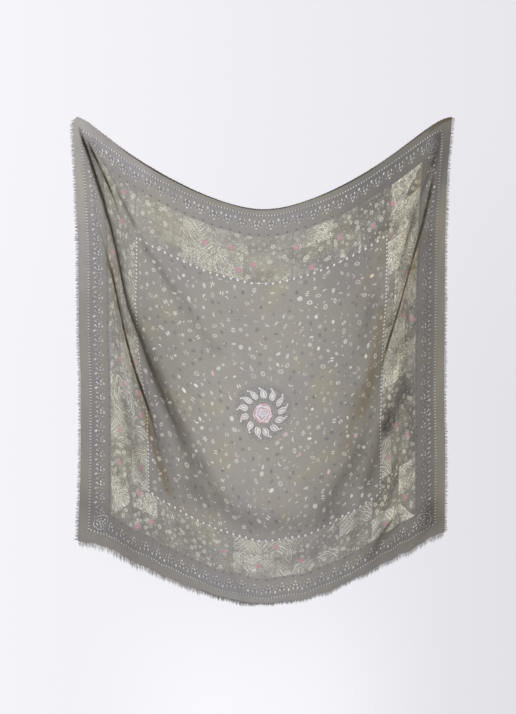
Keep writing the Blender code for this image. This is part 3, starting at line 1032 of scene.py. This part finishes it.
    def beads(self, on: Sheet) -> None:
        """The line of white beads, closer set up the sides, with thin links between some of the others."""
        g, c, lay, cloud = on.g, self.colours, on.lay, on.cloud
        inset, along, upright = on.inset, on.along, on.upright
        sway = (cloud(8, 1) - 0.5) * 6
        line = inset - self.bead_line - sway
        spacing = upright * (self.side_bead_step - self.bead_step) + self.bead_step
        number = (along / spacing).floor()
        chance = g.chances(number, upright, 71)
        step = along - (number + 0.5) * spacing
        bead = g.reach(step, line + (chance[2] - 0.5) * 2).fall(2.9 - upright * 0.6, 5 - upright * 1)
        link = g.reach((abs(step) - 8.4) / 2.8, (line + 1.2) / 1.4).fall(0.7, 1.15) * (chance[0] > 0.72)
        lay(c.dusk, abs(line).fall(3, 7) * 0.22)
        lay(c.ink, bead.most(link * (1 - upright) * 0.8) * (chance[1] * 0.2 + 0.8))

    def scattered(self, on: Sheet) -> None:
        """Marks strewn over the field: white and blush ones, dark ovals, and dots between them."""
        g, c, lay, cloud = on.g, self.colours, on.lay, on.cloud
        x, y, inset = on.x, on.y, on.inset
        outside = g.reach(x, y).rise(self.open_radius - 8, self.open_radius)
        open_field = inset.rise(self.field_starts, self.field_starts + 5) * outside
        fade = cloud(9).rise(0.3, 0.62) * 0.45 + 0.55
        cell = self.lattice(g, x, y, self.mark_step, 0.55, 0.55, 13)
        mark, chance = self.small_marks(g, cell, self.mark_size)
        fade = fade * (((chance * 29) % 1) * 0.6 + 0.5).least(1)
        is_dark = chance < 0.24
        light = open_field * (1 - is_dark) * (chance < 0.93) * fade
        tint = g.paint(c.ink, c.cream, (chance * 5) % 1 > 0.6)
        tint = g.paint(tint, c.blush, chance > 0.91)
        p, q = cell.turned()
        blob = g.reach(p / (cell.chances[0] * 5 + 6), q / (cell.chances[1] * 3 + 4.2)).fall(0.4, 1.25)
        lay(c.dusk, blob * is_dark * open_field * (cell.chances[2] * 0.35 + 0.42))
        lay(tint, mark.most(0) * light * 0.92)
        dots = self.lattice(g, x + 9, y + 14, self.dot_step, 0.55, 0.3, 17)
        p, q = dots.turned()
        dot = g.reach(p / (dots.chances[2] * 2.4 + 1.8), q / 1.9).fall(0.7, 1.3)
        lay(c.ink, dot * open_field * (dots.chances[0] > 0.58) * fade * 0.8)

    def medallion(self, on: Sheet) -> None:
        """A rose in a ring of paisleys.

        Each paisley is a teardrop: a round head towards the rose, and a tail whose middle line bends
        away by the square of its length and ends in a dot. Its rings follow the depth below its
        outline. The rose is a disc with a ruffled rim and a spiral of petal edges.
        """
        g, c, lay, cloud = on.g, self.colours, on.lay, on.cloud
        middle, angle = g.reach(on.x, on.y), on.y.angle_to(on.x)
        smoke = cloud(60, 3).rise(0.42, 0.56)
        halo = middle.between(38, 92, 13)
        lay(c.dusk, halo * (smoke * 0.3 + 0.1))
        fleck = cloud(200)
        lay(c.dusk, fleck.fall(0.38, 0.44) * halo * 0.6)
        lay(c.lilac, fleck.rise(0.6, 0.66) * halo * 0.28)
        sector = TURN / self.paisleys
        turn = angle / sector + 0.27
        number = g.chances((turn % self.paisleys).floor(), 0, 83)
        across = (turn - turn.floor() - 0.5 + (number[0] - 0.5) * 0.12) * sector * middle
        out = middle - self.ring_radius - (number[1] - 0.5) * 5
        past = (out - 3).most(0)
        bent = across + 2.5 - past * past * 0.075 - out * 0.12
        share = ((out + 18.5) / 31).most(0).least(1)
        egg = (share ** 0.78 * math.pi).sin().most(0) ** 0.58 * (number[2] * 1.6 + 9.3)
        tail = (past * 0.06 + 3.2) * (out > 0) * (out < 15)
        tip = 2.7 - g.reach(across - 10.8, out - 15.6)
        depth = (egg.most(tail) - abs(bent)).most(tip)
        near = (out > -20) * (out < 25)
        lay(c.dusk, depth.rise(-2.8, -1) * near * 0.75)
        lay(c.ink, depth.rise(-0.8, 0.6) * near)
        lay(c.dusk, depth.rise(2.2, 3.2) * near * 0.72)
        tint = g.paint(c.ink, c.blush, (number[3] > 0.4) * 0.75)
        lay(tint, depth.rise(3.4, 4.4) * near * 0.85)
        heart = depth + (cloud(150, 1) - 0.5) * 5
        lay(c.dusk, heart.between(5.6, 7, 0.6) * near * 0.75)
        lay(c.ink, heart.rise(7.2, 8.2) * near * 0.9)
        # The rose
        ruffle = cloud(58) - 0.5
        frill = (angle * 7 + 0.6).cos() * 0.9 + (angle * 3 + 2.1).cos() * 1.5
        rim = middle - (frill + self.rosette) + ruffle * 14
        lay(c.dusk, rim.fall(0, 3.5) * 0.75)
        lay(c.blush, rim.fall(-1, 0.6))
        petal = (middle * 0.66 + angle + (angle * 3 + middle * 0.12).cos() * 1.2 + ruffle * 15).sin()
        inside = rim.fall(-3.4, -1.8)
        lay(c.lilac, petal.fall(-0.35, 0.1) * inside * 0.85)
        lay(c.rose, petal.between(0.22, 0.55, 0.15) * inside * 0.6)
        lay(c.murk, petal.rise(0.72, 0.9) * inside * 0.75)
        lay(c.lilac, middle.fall(9, 12) * 0.85)
        swirl = (middle * 1.15 - angle + ruffle * 8).sin()
        lay(c.violet, swirl.rise(0.1, 0.6) * middle.fall(8, 10.5) * 0.75)

    def sheet(self, g: Graph, region: Region) -> Sheet:
        """The print in one region.

        Args:
            g: the material's graph.
            region: which part of the print.

        Returns:
            The sheet with all its colours laid.
        """
        layers = {
            Region.BORDER: (self.border, self.corner_rosette, self.painted_hem_shade),
            Region.PATCHES: (self.patches, self.roses, self.beads),
            Region.FIELD: (self.scattered,),
            Region.MEDALLION: (self.scattered, self.medallion),
        }
        sheet = Sheet(g, self)
        for layer in (self.ground, *layers[region]):
            layer(sheet)
        return sheet


# Finishes


def blank_material(name: str) -> tuple[bpy.types.Material, Graph, bpy.types.Node]:
    """A material with only a Principled shader and its output.

    Args:
        name: the material's name.

    Returns:
        The material, its graph and the shader's node.
    """
    material = bpy.data.materials.new(name)
    material.use_nodes = True
    return material, Graph(material), material.node_tree.nodes["Principled BSDF"]


@dataclass(frozen=True)
class ClothFinish:
    """Thin matt plain weave with the print on its face and a paler print on its back."""

    roughness: float = 0.81
    gloss: float = 0.2
    sheen: float = 0.18
    sheen_roughness: float = 0.6
    threads_per_metre: float = 1150.0
    slubs_along: float = 28.0
    slubs_across: float = 620.0
    slub_strength: float = 0.28
    bump: float = 0.35
    bump_height: float = 0.0004
    back_fade: float = 0.5
    printed: ScarfPrint = field(default_factory=ScarfPrint)

    def weave(self, g: Graph, flat: Channel) -> tuple[Channel, Channel]:
        """The plain weave: threads over and under in turn, and slubs drawn out along both threads.

        Args:
            g: the material's graph.
            flat: the point on the flat cloth, in metres.

        Returns:
            Height of the weave from 0 to 1, and the slubs' lightness about 0.
        """
        x, y, _ = g.parts(flat)
        per_metre = self.threads_per_metre
        over = (x * (per_metre * math.pi)).sin() * (y * (per_metre * math.pi)).sin()
        weft = g.cloud(g.point(x * self.slubs_along, y * self.slubs_across), 1) - 0.5
        warp = g.cloud(g.point(x * self.slubs_across, y * self.slubs_along, 3), 1) - 0.5
        return over * 0.5 + 0.5 + weft + warp, weft + warp

    def material(self, region: Region, face: Face) -> bpy.types.Material:
        """The finish of one region of one face, with painted shade and light laid into its colour."""
        material, g, shader = blank_material(f"printed_cloth_{region.value}_{face.value}")
        sheet = self.printed.sheet(g, region)
        colour, flat, c = sheet.colour, sheet.flat, self.printed.colours
        height, slubs = self.weave(g, flat)
        if face is Face.BACK:
            colour = g.paint(colour, c.ground, self.back_fade)
        # Painted shade and light of the fold hollows and the soft strokes, broken up by streaks
        tint = g.node("ShaderNodeAttribute", {"attribute_name": PAINTED_LIGHT_AND_SHADE}, None, "Color")
        x, y, _ = g.parts(flat)
        streak = g.cloud(g.point((abs(x) * 2.3 - y) * 26, (abs(x) + y * 2.3) * 2.6), 1, 3, 0.6)
        tint = g.paint((1, 1, 1), tint, streak.rise(0.3, 0.62) * 0.55 + 0.68)
        colour = g.node("ShaderNodeVectorMath", {"operation": "MULTIPLY"}, {0: colour, 1: tint})
        # Painted shade: a dark line along the inner flank of each main crease, broken up by noise
        painted_crease_shade = g.node("ShaderNodeAttribute", {"attribute_name": CREASE_SHADE}, None, "Fac")
        broken = sheet.cloud(22).rise(0.3, 0.58) * 0.3 + sheet.cloud(110).rise(0.36, 0.6) * 0.25
        painted_crease_shade = painted_crease_shade * (broken + 0.74)
        colour = g.paint(colour, c.shade_umber, painted_crease_shade.rise(0.08, 0.44) * 0.7)
        colour = g.paint(colour, c.shade_olive, painted_crease_shade.rise(0.4, 0.68) * 0.98)
        colour = g.shade(colour, slubs * self.slub_strength + 1)
        bump = {"Strength": self.bump, "Distance": self.bump_height, "Height": height}
        g.feed(shader, {
            "Base Color": colour, "Normal": g.node("ShaderNodeBump", None, bump),
            "Roughness": height * 0.06 + self.roughness, "Specular IOR Level": self.gloss,
            "Sheen Weight": self.sheen, "Sheen Roughness": self.sheen_roughness,
        })
        return material


@dataclass(frozen=True)
class ThreadFinish:
    """Loose matt threads, paler than the cloth, and uneven from tuft to tuft.

    They are darker along the bottom hem, and shaded where it hangs lowest. Those places are ranges
    of the object's height and width.
    """

    light: Colour = (0.56, 0.55, 0.54)
    dark: Colour = (0.37, 0.36, 0.35)
    shaded: Colour = (0.13, 0.12, 0.10)
    tufts_per_metre: float = 120.0
    twists_per_metre: float = 900.0
    bump: float = 0.4
    bump_height: float = 0.0002
    bottom: tuple[float, float] = (-1.44, -1.41)
    lowest: tuple[float, float] = (-1.54, -1.50)
    lowest_across: tuple[float, float] = (0.44, 0.72)
    gloss: float = 0.2
    sheen: float = 0.2

    def material(self) -> bpy.types.Material:
        """The finish of all the frayed threads."""
        material, g, shader = blank_material("frayed_thread")
        where = g.node("ShaderNodeTexCoord", None, None, "Object")
        tone = g.cloud(where, self.tufts_per_metre, 2)
        twist = g.cloud(where, self.twists_per_metre, 1)
        colour = g.paint(self.dark, self.light, tone.rise(0.34, 0.62))
        x, _, z = g.parts(where)
        colour = g.paint(colour, self.dark, z.fall(*self.bottom) * 0.7)
        lowest = x.between(*self.lowest_across, 0.05) * z.fall(*self.lowest)
        colour = g.paint(colour, self.shaded, lowest * 0.75)
        bump = {"Strength": self.bump, "Distance": self.bump_height, "Height": twist}
        g.feed(shader, {
            "Base Color": g.shade(colour, twist * 0.4 + 0.8), "Normal": g.node("ShaderNodeBump", None, bump),
            "Roughness": twist * 0.1 + 0.85, "Sheen Weight": self.sheen, "Specular IOR Level": self.gloss,
        })
        return material


@dataclass(frozen=True)
class StageFinish:
    """Plain pale matt floor, a little lit through."""

    colour: Colour = (0.80, 0.80, 0.82)
    glow: Colour = (1.0, 0.99, 1.03)
    glow_strength: float = 0.222
    roughness: float = 0.95
    gloss: float = 0.1

    def material(self) -> bpy.types.Material:
        """The finish of the floor."""
        material, g, shader = blank_material("pale_floor")
        g.feed(shader, {
            "Base Color": self.colour, "Emission Color": self.glow, "Emission Strength": self.glow_strength,
            "Roughness": self.roughness, "Specular IOR Level": self.gloss,
        })
        return material


# The pieces


@dataclass
class ScarfCloth:
    """The printed square as a thin closed shell on the form of the hung cloth."""

    form: HungCloth = field(default_factory=HungCloth)
    finish: ClothFinish = field(default_factory=ClothFinish)
    thickness: float = 0.0006
    fine_rows: tuple[float, ...] = (0.0, 0.0018, 0.0050)
    border_width: float = 0.1025
    band_width: float = 0.2665
    medallion_half: float = 0.112
    column_width: float = 0.0045
    row_height: float = 0.0100
    # How much of the painted shade and light the back face has
    back_painted_light_share: float = 0.4

    def shares(self, spacing: float, near: float, far: float) -> Array:
        """Shares along a side for the grid lines, with lines on the borders of the print's regions.

        Args:
            spacing: metres between lines, about.
            near: scale of the print on the first half of the side.
            far: scale of the print on the second half.

        Returns:
            The shares from 0 to 1, finer at both ends.
        """
        side = self.form.side
        middle = side / 2.0
        rims = [middle - self.border_width, middle - self.band_width, self.medallion_half]
        marks = [*self.fine_rows, *(middle - rim / near for rim in rims)]
        marks += [middle + rim / far for rim in reversed(rims)]
        marks += [side - row for row in reversed(self.fine_rows)]
        lines = [0.0]
        for start, end in zip(marks, marks[1:]):
            count = max(1, round((end - start) / spacing))
            lines.extend(np.linspace(start, end, count + 1)[1:])
        return np.array(lines) / side

    def region_numbers(self, across: Array, down: Array) -> Array:
        """The number of each cell's region: 0 border, 1 patches, 2 field, 3 medallion."""
        side = self.form.side
        printed = self.finish.printed
        x = np.abs((across[1:] + across[:-1]) / 2.0 - 0.5) * side * printed.side_scale
        y = (0.5 - (down[1:] + down[:-1]) / 2.0) * side
        y = np.abs(y) * np.where(y > 0.0, printed.top_scale, printed.bottom_scale)
        furthest = np.maximum(x[:, None], y[None, :])
        inset = side / 2.0 - furthest
        number = (inset > self.border_width).astype(int) + (inset > self.band_width)
        return number + (furthest < self.medallion_half)

    def build(self) -> bpy.types.Object:
        """The shell: a front sheet, a back sheet, and the cut edges between them.

        Each cell is split along the diagonal that falls away from its own held corner, the way the
        main folds run, and both sheets are split alike.
        """
        printed = self.finish.printed
        across = self.shares(self.column_width, printed.side_scale, printed.side_scale)
        down = self.shares(self.row_height, printed.top_scale, printed.bottom_scale)
        points = self.form.points(across, down)
        normals = self.form.normals(points, across, down)
        half = normals * self.thickness / 2.0
        wide, high = len(across), len(down)
        sheet = wide * high
        number = np.arange(sheet).reshape(wide, high)
        corners = np.stack([number[:-1, :-1], number[:-1, 1:], number[1:, 1:], number[1:, :-1]], axis=-1)
        right = np.arange(wide - 1) >= (wide - 1) // 2
        corners = np.where(right[:, None, None], np.roll(corners, -1, axis=-1), corners)
        cells = corners.reshape(-1, 4)
        front = cells[:, [0, 1, 2, 0, 2, 3]].reshape(-1, 3)
        back = sheet + front[:, ::-1]
        rim = np.concatenate([number[0, :-1], number[:-1, -1], number[-1, :0:-1], number[:0:-1, 0]])
        onward = np.roll(rim, -1)
        edges = np.stack([rim, sheet + rim, sheet + onward, rim, sheet + onward, onward], axis=-1)
        edges = edges.reshape(-1, 3)
        both = np.concatenate([(points + half).reshape(-1, 3), (points - half).reshape(-1, 3)])
        piece = mesh_object("scarf_shell", both, np.concatenate([front, back, edges]))
        regions = np.repeat(self.region_numbers(across, down).reshape(-1), 2)
        slots = np.concatenate([regions, regions + len(Region), np.zeros(len(edges), dtype=int)])
        self.dress(piece, slots, across, down)
        return piece

    def dress(self, piece: bpy.types.Object, slots: Array, across: Array, down: Array) -> None:
        """Gives the shell its finishes, its cloth map, and its painted shade and light: the crease lines and
        the tints.

        Args:
            piece: the shell.
            slots: the finish number of each face.
            across: shares of the grid lines across.
            down: shares of the grid lines down.
        """
        mesh = piece.data
        for face in Face:
            for region in Region:
                mesh.materials.append(self.finish.material(region, face))
        mesh.polygons.foreach_set("material_index", slots.astype(np.int32))
        at_points = np.stack(np.meshgrid(across, down, indexing="ij"), axis=-1).reshape(-1, 2)
        at_points = np.concatenate([at_points, at_points])
        loops = np.empty(len(mesh.loops), dtype=np.int32)
        mesh.loops.foreach_get("vertex_index", loops)
        layer = mesh.uv_layers.new(name=CLOTH_MAP)
        layer.uv.foreach_set("vector", at_points[loops].astype(np.float32).ravel())
        # Painted shade of the crease lines, the same on both faces
        lines, hollows = self.form.creases(across, down)
        painted_crease_shade = mesh.attributes.new(CREASE_SHADE, "FLOAT", "POINT")
        painted_crease_shade.data.foreach_set("value", np.tile(lines.ravel(), 2).astype(np.float32))
        # Painted shade and light of the hollows and strokes, weaker on the back
        tint = self.form.tints(across, down, hollows).reshape(-1, 3)
        tint = np.concatenate([tint, 1.0 + (tint - 1.0) * self.back_painted_light_share])
        tint = np.concatenate([tint, np.ones((len(tint), 1))], axis=1)
        tints = mesh.attributes.new(PAINTED_LIGHT_AND_SHADE, "FLOAT_COLOR", "POINT")
        tints.data.foreach_set("color", tint.astype(np.float32).ravel())


@dataclass
class FrayedEdge:
    """Loose thread ends along one cut edge, gathered here and there into tufts.

    hang is how a strand's tip sags, as shares of its length. gather is how far strands lean to the
    middle of their tuft, and shortest is the least share of the full length. The strands start a
    tuck inside the cut edge.
    """

    name: str
    node: str
    hang: tuple[float, float, float]
    seed: int
    length: float = 0.0100
    gather: float = 0.65
    shortest: float = 0.55
    longest: float = 1.15
    loose_length: float = 0.64
    tuft_gain: float = 0.44
    strands_per_metre: float = 3900.0
    tuft_step: float = 0.0082
    tuft_spacings: tuple[float, float] = (0.45, 1.55)
    tuft_lengths: tuple[float, float] = (0.80, 1.10)
    tuft_half_width: float = 0.42
    pulls: tuple[float, float] = (0.5, 1.2)
    sags: tuple[float, float] = (0.6, 1.4)
    curl_turns: tuple[float, float] = (0.4, 0.9)
    thicknesses: tuple[float, float] = (0.8, 1.25)
    bare_end: float = 0.002
    tuck: float = 0.0009
    stray_along: float = 0.0011
    stray_out: float = 0.0013
    curl: float = 0.0006
    radius: float = 0.00030
    taper: float = 0.45
    rings: int = 4
    sides: int = 3
    near_line: float = 0.0015
    edge_samples: int = 601

    def edge_line(self, form: HungCloth) -> tuple[Array, Array]:
        """Points and outward directions of this edge of the hung cloth.

        Args:
            form: the hung cloth.

        Returns:
            Points along the edge, and unit vectors that lead away from the cloth.
        """
        fine = np.linspace(0.0, 1.0, self.edge_samples)
        near = np.array([0.0, self.near_line])
        far = 1.0 - near[::-1]
        if self.node == "fringe_left":
            edge, inner = form.points(near, fine)
        elif self.node == "fringe_right":
            inner, edge = form.points(far, fine)
        elif self.node == "fringe_top":
            edge, inner = form.points(fine, near).swapaxes(0, 1)
        else:
            inner, edge = form.points(fine, np.concatenate([fine[:-1], far])).swapaxes(0, 1)[-2:]
        return edge, unit(edge - inner)

    def build(self, form: HungCloth, finish: bpy.types.Material) -> bpy.types.Object:
        """All strands of the edge as one mesh.

        A strand starts just inside the cut edge and leaves it outwards, leans towards the middle of
        its tuft, and bends over as it goes: its path is a straight run plus a sag that grows with the
        square of the distance. It is a three-sided tube that thins towards its tip.

        Args:
            form: the hung cloth.
            finish: the threads' finish.

        Returns:
            The piece.
        """
        rng = np.random.default_rng(self.seed)
        edge, outward = self.edge_line(form)
        run = np.gradient(edge, axis=0)
        travelled = np.concatenate([[0.0], np.cumsum(np.linalg.norm(np.diff(edge, axis=0), axis=1))])
        total = travelled[-1]
        count = int(total * self.strands_per_metre)
        place = np.sort(rng.uniform(self.bare_end, total - self.bare_end, count))
        spacings = rng.uniform(*self.tuft_spacings, int(total / self.tuft_step) + 4)
        tufts = np.cumsum(spacings * self.tuft_step)
        nearest = tufts[np.abs(place[:, None] - tufts[None, :]).argmin(axis=1)]
        pull = (nearest - place) * self.gather * rng.uniform(*self.pulls, count)

        def at(values: Array) -> Array:
            """Values along the edge, read where the strands start."""
            return np.stack([np.interp(place, travelled, values[:, k]) for k in range(3)], axis=1)

        root, away, along = at(edge), unit(at(outward)), unit(at(run))
        in_tuft = np.exp(-(((nearest - place) / (self.tuft_half_width * self.tuft_step)) ** 2))
        tuft_length = rng.uniform(*self.tuft_lengths, len(tufts) + 1)[np.searchsorted(tufts, nearest)]
        reach = self.length * tuft_length * (self.loose_length + self.tuft_gain * in_tuft)
        reach = reach * rng.uniform(self.shortest, self.longest, count)
        sag = np.array(self.hang) * rng.uniform(*self.sags, (count, 1))
        drift = along * (pull + rng.normal(0.0, self.stray_along, count))[:, None]
        outwards = unit(np.cross(along, away))
        fluff = outwards * rng.normal(0.0, self.stray_out, (count, 1))
        share = np.linspace(0.0, 1.0, self.rings)[None, :, None]
        turn = share * TURN * rng.uniform(*self.curl_turns, (count, 1, 1))
        wave = np.sin(turn + rng.uniform(0.0, TURN, (count, 1, 1)))
        root, away, along, outwards, reach = (
            one[:, None] for one in (root, away, along, outwards, reach[:, None]))
        path = root - away * self.tuck + away * share * (reach + self.tuck)
        path = path + (drift + fluff)[:, None] * share**1.3 + sag[:, None] * reach * share**2
        path = path + along * wave * share * self.curl
        thin = self.radius * (1.0 - self.taper * share) * rng.uniform(*self.thicknesses, (count, 1, 1))
        around = (np.arange(self.sides) * TURN / self.sides)[:, None]
        ring = along[:, None] * np.cos(around) + outwards[:, None] * np.sin(around)
        points = path[:, :, None] + ring * thin[..., None]
        piece = mesh_object(self.name, points.reshape(-1, 3), self.tube_faces(count))
        piece.data.materials.append(finish)
        return piece

    def tube_faces(self, count: int) -> Array:
        """Triangles of the closed tubes of all strands.

        Args:
            count: number of strands.

        Returns:
            Three point numbers for each triangle.
        """
        sides, rings = self.sides, self.rings
        number = np.arange(rings * sides).reshape(rings, sides)
        here, there = number[:-1], number[1:]
        turned_here, turned_there = np.roll(here, -1, axis=1), np.roll(there, -1, axis=1)
        walls = np.stack([here, turned_here, turned_there, here, turned_there, there], axis=-1)
        one = np.concatenate([walls.reshape(-1, 3), number[:1, ::-1], number[-1:]])
        return (one[None] + (np.arange(count) * rings * sides)[:, None, None]).reshape(-1, 3)


# The stage


@dataclass
class Studio:
    """Plain pale floor and sky, soft light from the left, and the camera."""

    view_distance: float = 4.5
    view_across: float = 0.593
    view_up: float = -0.782
    frame_height: float = 2.3276
    sensor: float = 36.0
    floor: float = -2.35
    floor_middle: tuple[float, float] = (0.6, -0.95)
    floor_radius: float = 2.3
    floor_corners: int = 96
    wall_tint: Colour = (1.0, 0.988, 1.03)
    near_sky: Colour = (0.342, 0.342, 0.360)

    def stand(self) -> None:
        """A round floor under the object: a fan of triangles, level and below the photograph's frame."""
        count = self.floor_corners
        turn = np.linspace(0.0, TURN, count, endpoint=False)
        middle = np.array([*self.floor_middle, self.floor])
        around = np.stack([np.cos(turn), np.sin(turn), np.zeros(count)], axis=-1)
        here = np.arange(count)
        faces = np.stack([here, (here + 1) % count, np.full(count, count)], axis=-1)
        piece = mesh_object("floor", np.vstack([middle + self.floor_radius * around, middle]), faces)
        piece.data.materials.append(StageFinish().material())

    def sky(self) -> None:
        """The pale wall behind the object as the far half of a plain sky, and a dimmer near half.

        The wall is brightest at its left and at its foot, and falls off to the right. It is a function of
        how far a direction leans to the right and upwards for each step away from the viewer.
        """
        world = bpy.data.worlds.new("studio")
        world.use_nodes = True
        g = Graph(world)
        x, y, z = g.parts(g.node("ShaderNodeTexCoord", None, None, "Generated"))
        ahead = y.most(0.2)
        right = (x / ahead).most(-0.3).least(0.3)
        up = (z / ahead).most(-0.4).least(0.4)
        level = right * -0.32 + 0.866 - (right.rise(0.04, 0.18) * 0.025 + 0.012) * up.fall(-0.05, 0.20)
        level = level + abs(right).fall(0.02, 0.15) * up.fall(-0.26, -0.12) * 0.09
        wall = g.shade(self.wall_tint, level)
        g.feed(g.tree.nodes["Background"], {"Color": g.paint(self.near_sky, wall, y.rise(0.0, 0.5))})
        bpy.context.scene.world = world

    def lamp(self, name: str, place: Sequence[float], aim: Sequence[float], size: tuple[float, float],
             power: float) -> None:
        """A soft box.

        Args:
            name: its name.
            place: where it stands.
            aim: the point that it faces.
            size: its width and height.
            power: its strength in watts.
        """
        data = bpy.data.lights.new(name, "AREA")
        data.shape = "RECTANGLE"
        data.size, data.size_y = size
        data.energy = power
        lamp = placed(name, data)
        lamp.location = place
        lamp.rotation_euler = (Vector(aim) - Vector(place)).to_track_quat("-Z", "Y").to_euler()
        lamp.visible_camera = False

    def camera(self) -> None:
        """The camera, level with the middle of the photograph's frame, whose height is its long side."""
        data = bpy.data.cameras.new("photograph_view")
        data.sensor_width = self.sensor
        data.lens = self.sensor * self.view_distance / self.frame_height
        camera = placed("photograph_view", data)
        camera.location = (self.view_across, -self.view_distance, self.view_up)
        camera.rotation_euler = (math.pi / 2.0, 0.0, 0.0)
        bpy.context.scene.camera = camera

    def build(self) -> None:
        """Floor, sky, camera and lights."""
        self.stand()
        self.sky()
        self.camera()
        middle = (0.61, 0.0, -0.75)
        self.lamp("left_box", (-1.7, -3.9, 0.6), middle, (2.4, 2.4), 75.0)
        self.lamp("front_box", (0.5, -4.7, 0.9), middle, (2.4, 2.0), 35.0)
        self.lamp("near_box", (0.52, -2.0, -0.25), (0.55, 0.0, -0.5), (0.5, 0.5), 8.0)
        bpy.context.scene.view_settings.view_transform = "Standard"


FRAYED_EDGES = (
    FrayedEdge("frayed_left", "fringe_left", (0.0, 0.0, -0.25), 11, 0.0112),
    FrayedEdge("frayed_right", "fringe_right", (0.0, 0.0, -0.25), 23),
    FrayedEdge("frayed_bottom", "fringe_bottom", (0.0, 0.0, -0.2), 37, 0.0160, gather=0.25, shortest=0.42),
    FrayedEdge("frayed_top", "fringe_top", (0.0, 0.8, -0.7), 41, 0.0079),
)


def main() -> None:
    """Builds the stage and the pieces in order, and reports each."""
    logging.basicConfig(level=logging.INFO, format="%(message)s")
    Studio().build()
    cloth = ScarfCloth()
    shell = cloth.build()
    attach(shell, BODY)
    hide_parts("scarf_cloth")
    LOG.info("%s: %d triangles", shell.name, len(shell.data.polygons))
    threads = ThreadFinish().material()
    for edge in FRAYED_EDGES:
        piece = edge.build(cloth.form, threads)
        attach(piece, BODY)
        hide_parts(edge.node)
        LOG.info("%s: %d triangles", piece.name, len(piece.data.polygons))


if __name__ == "__main__":
    main()
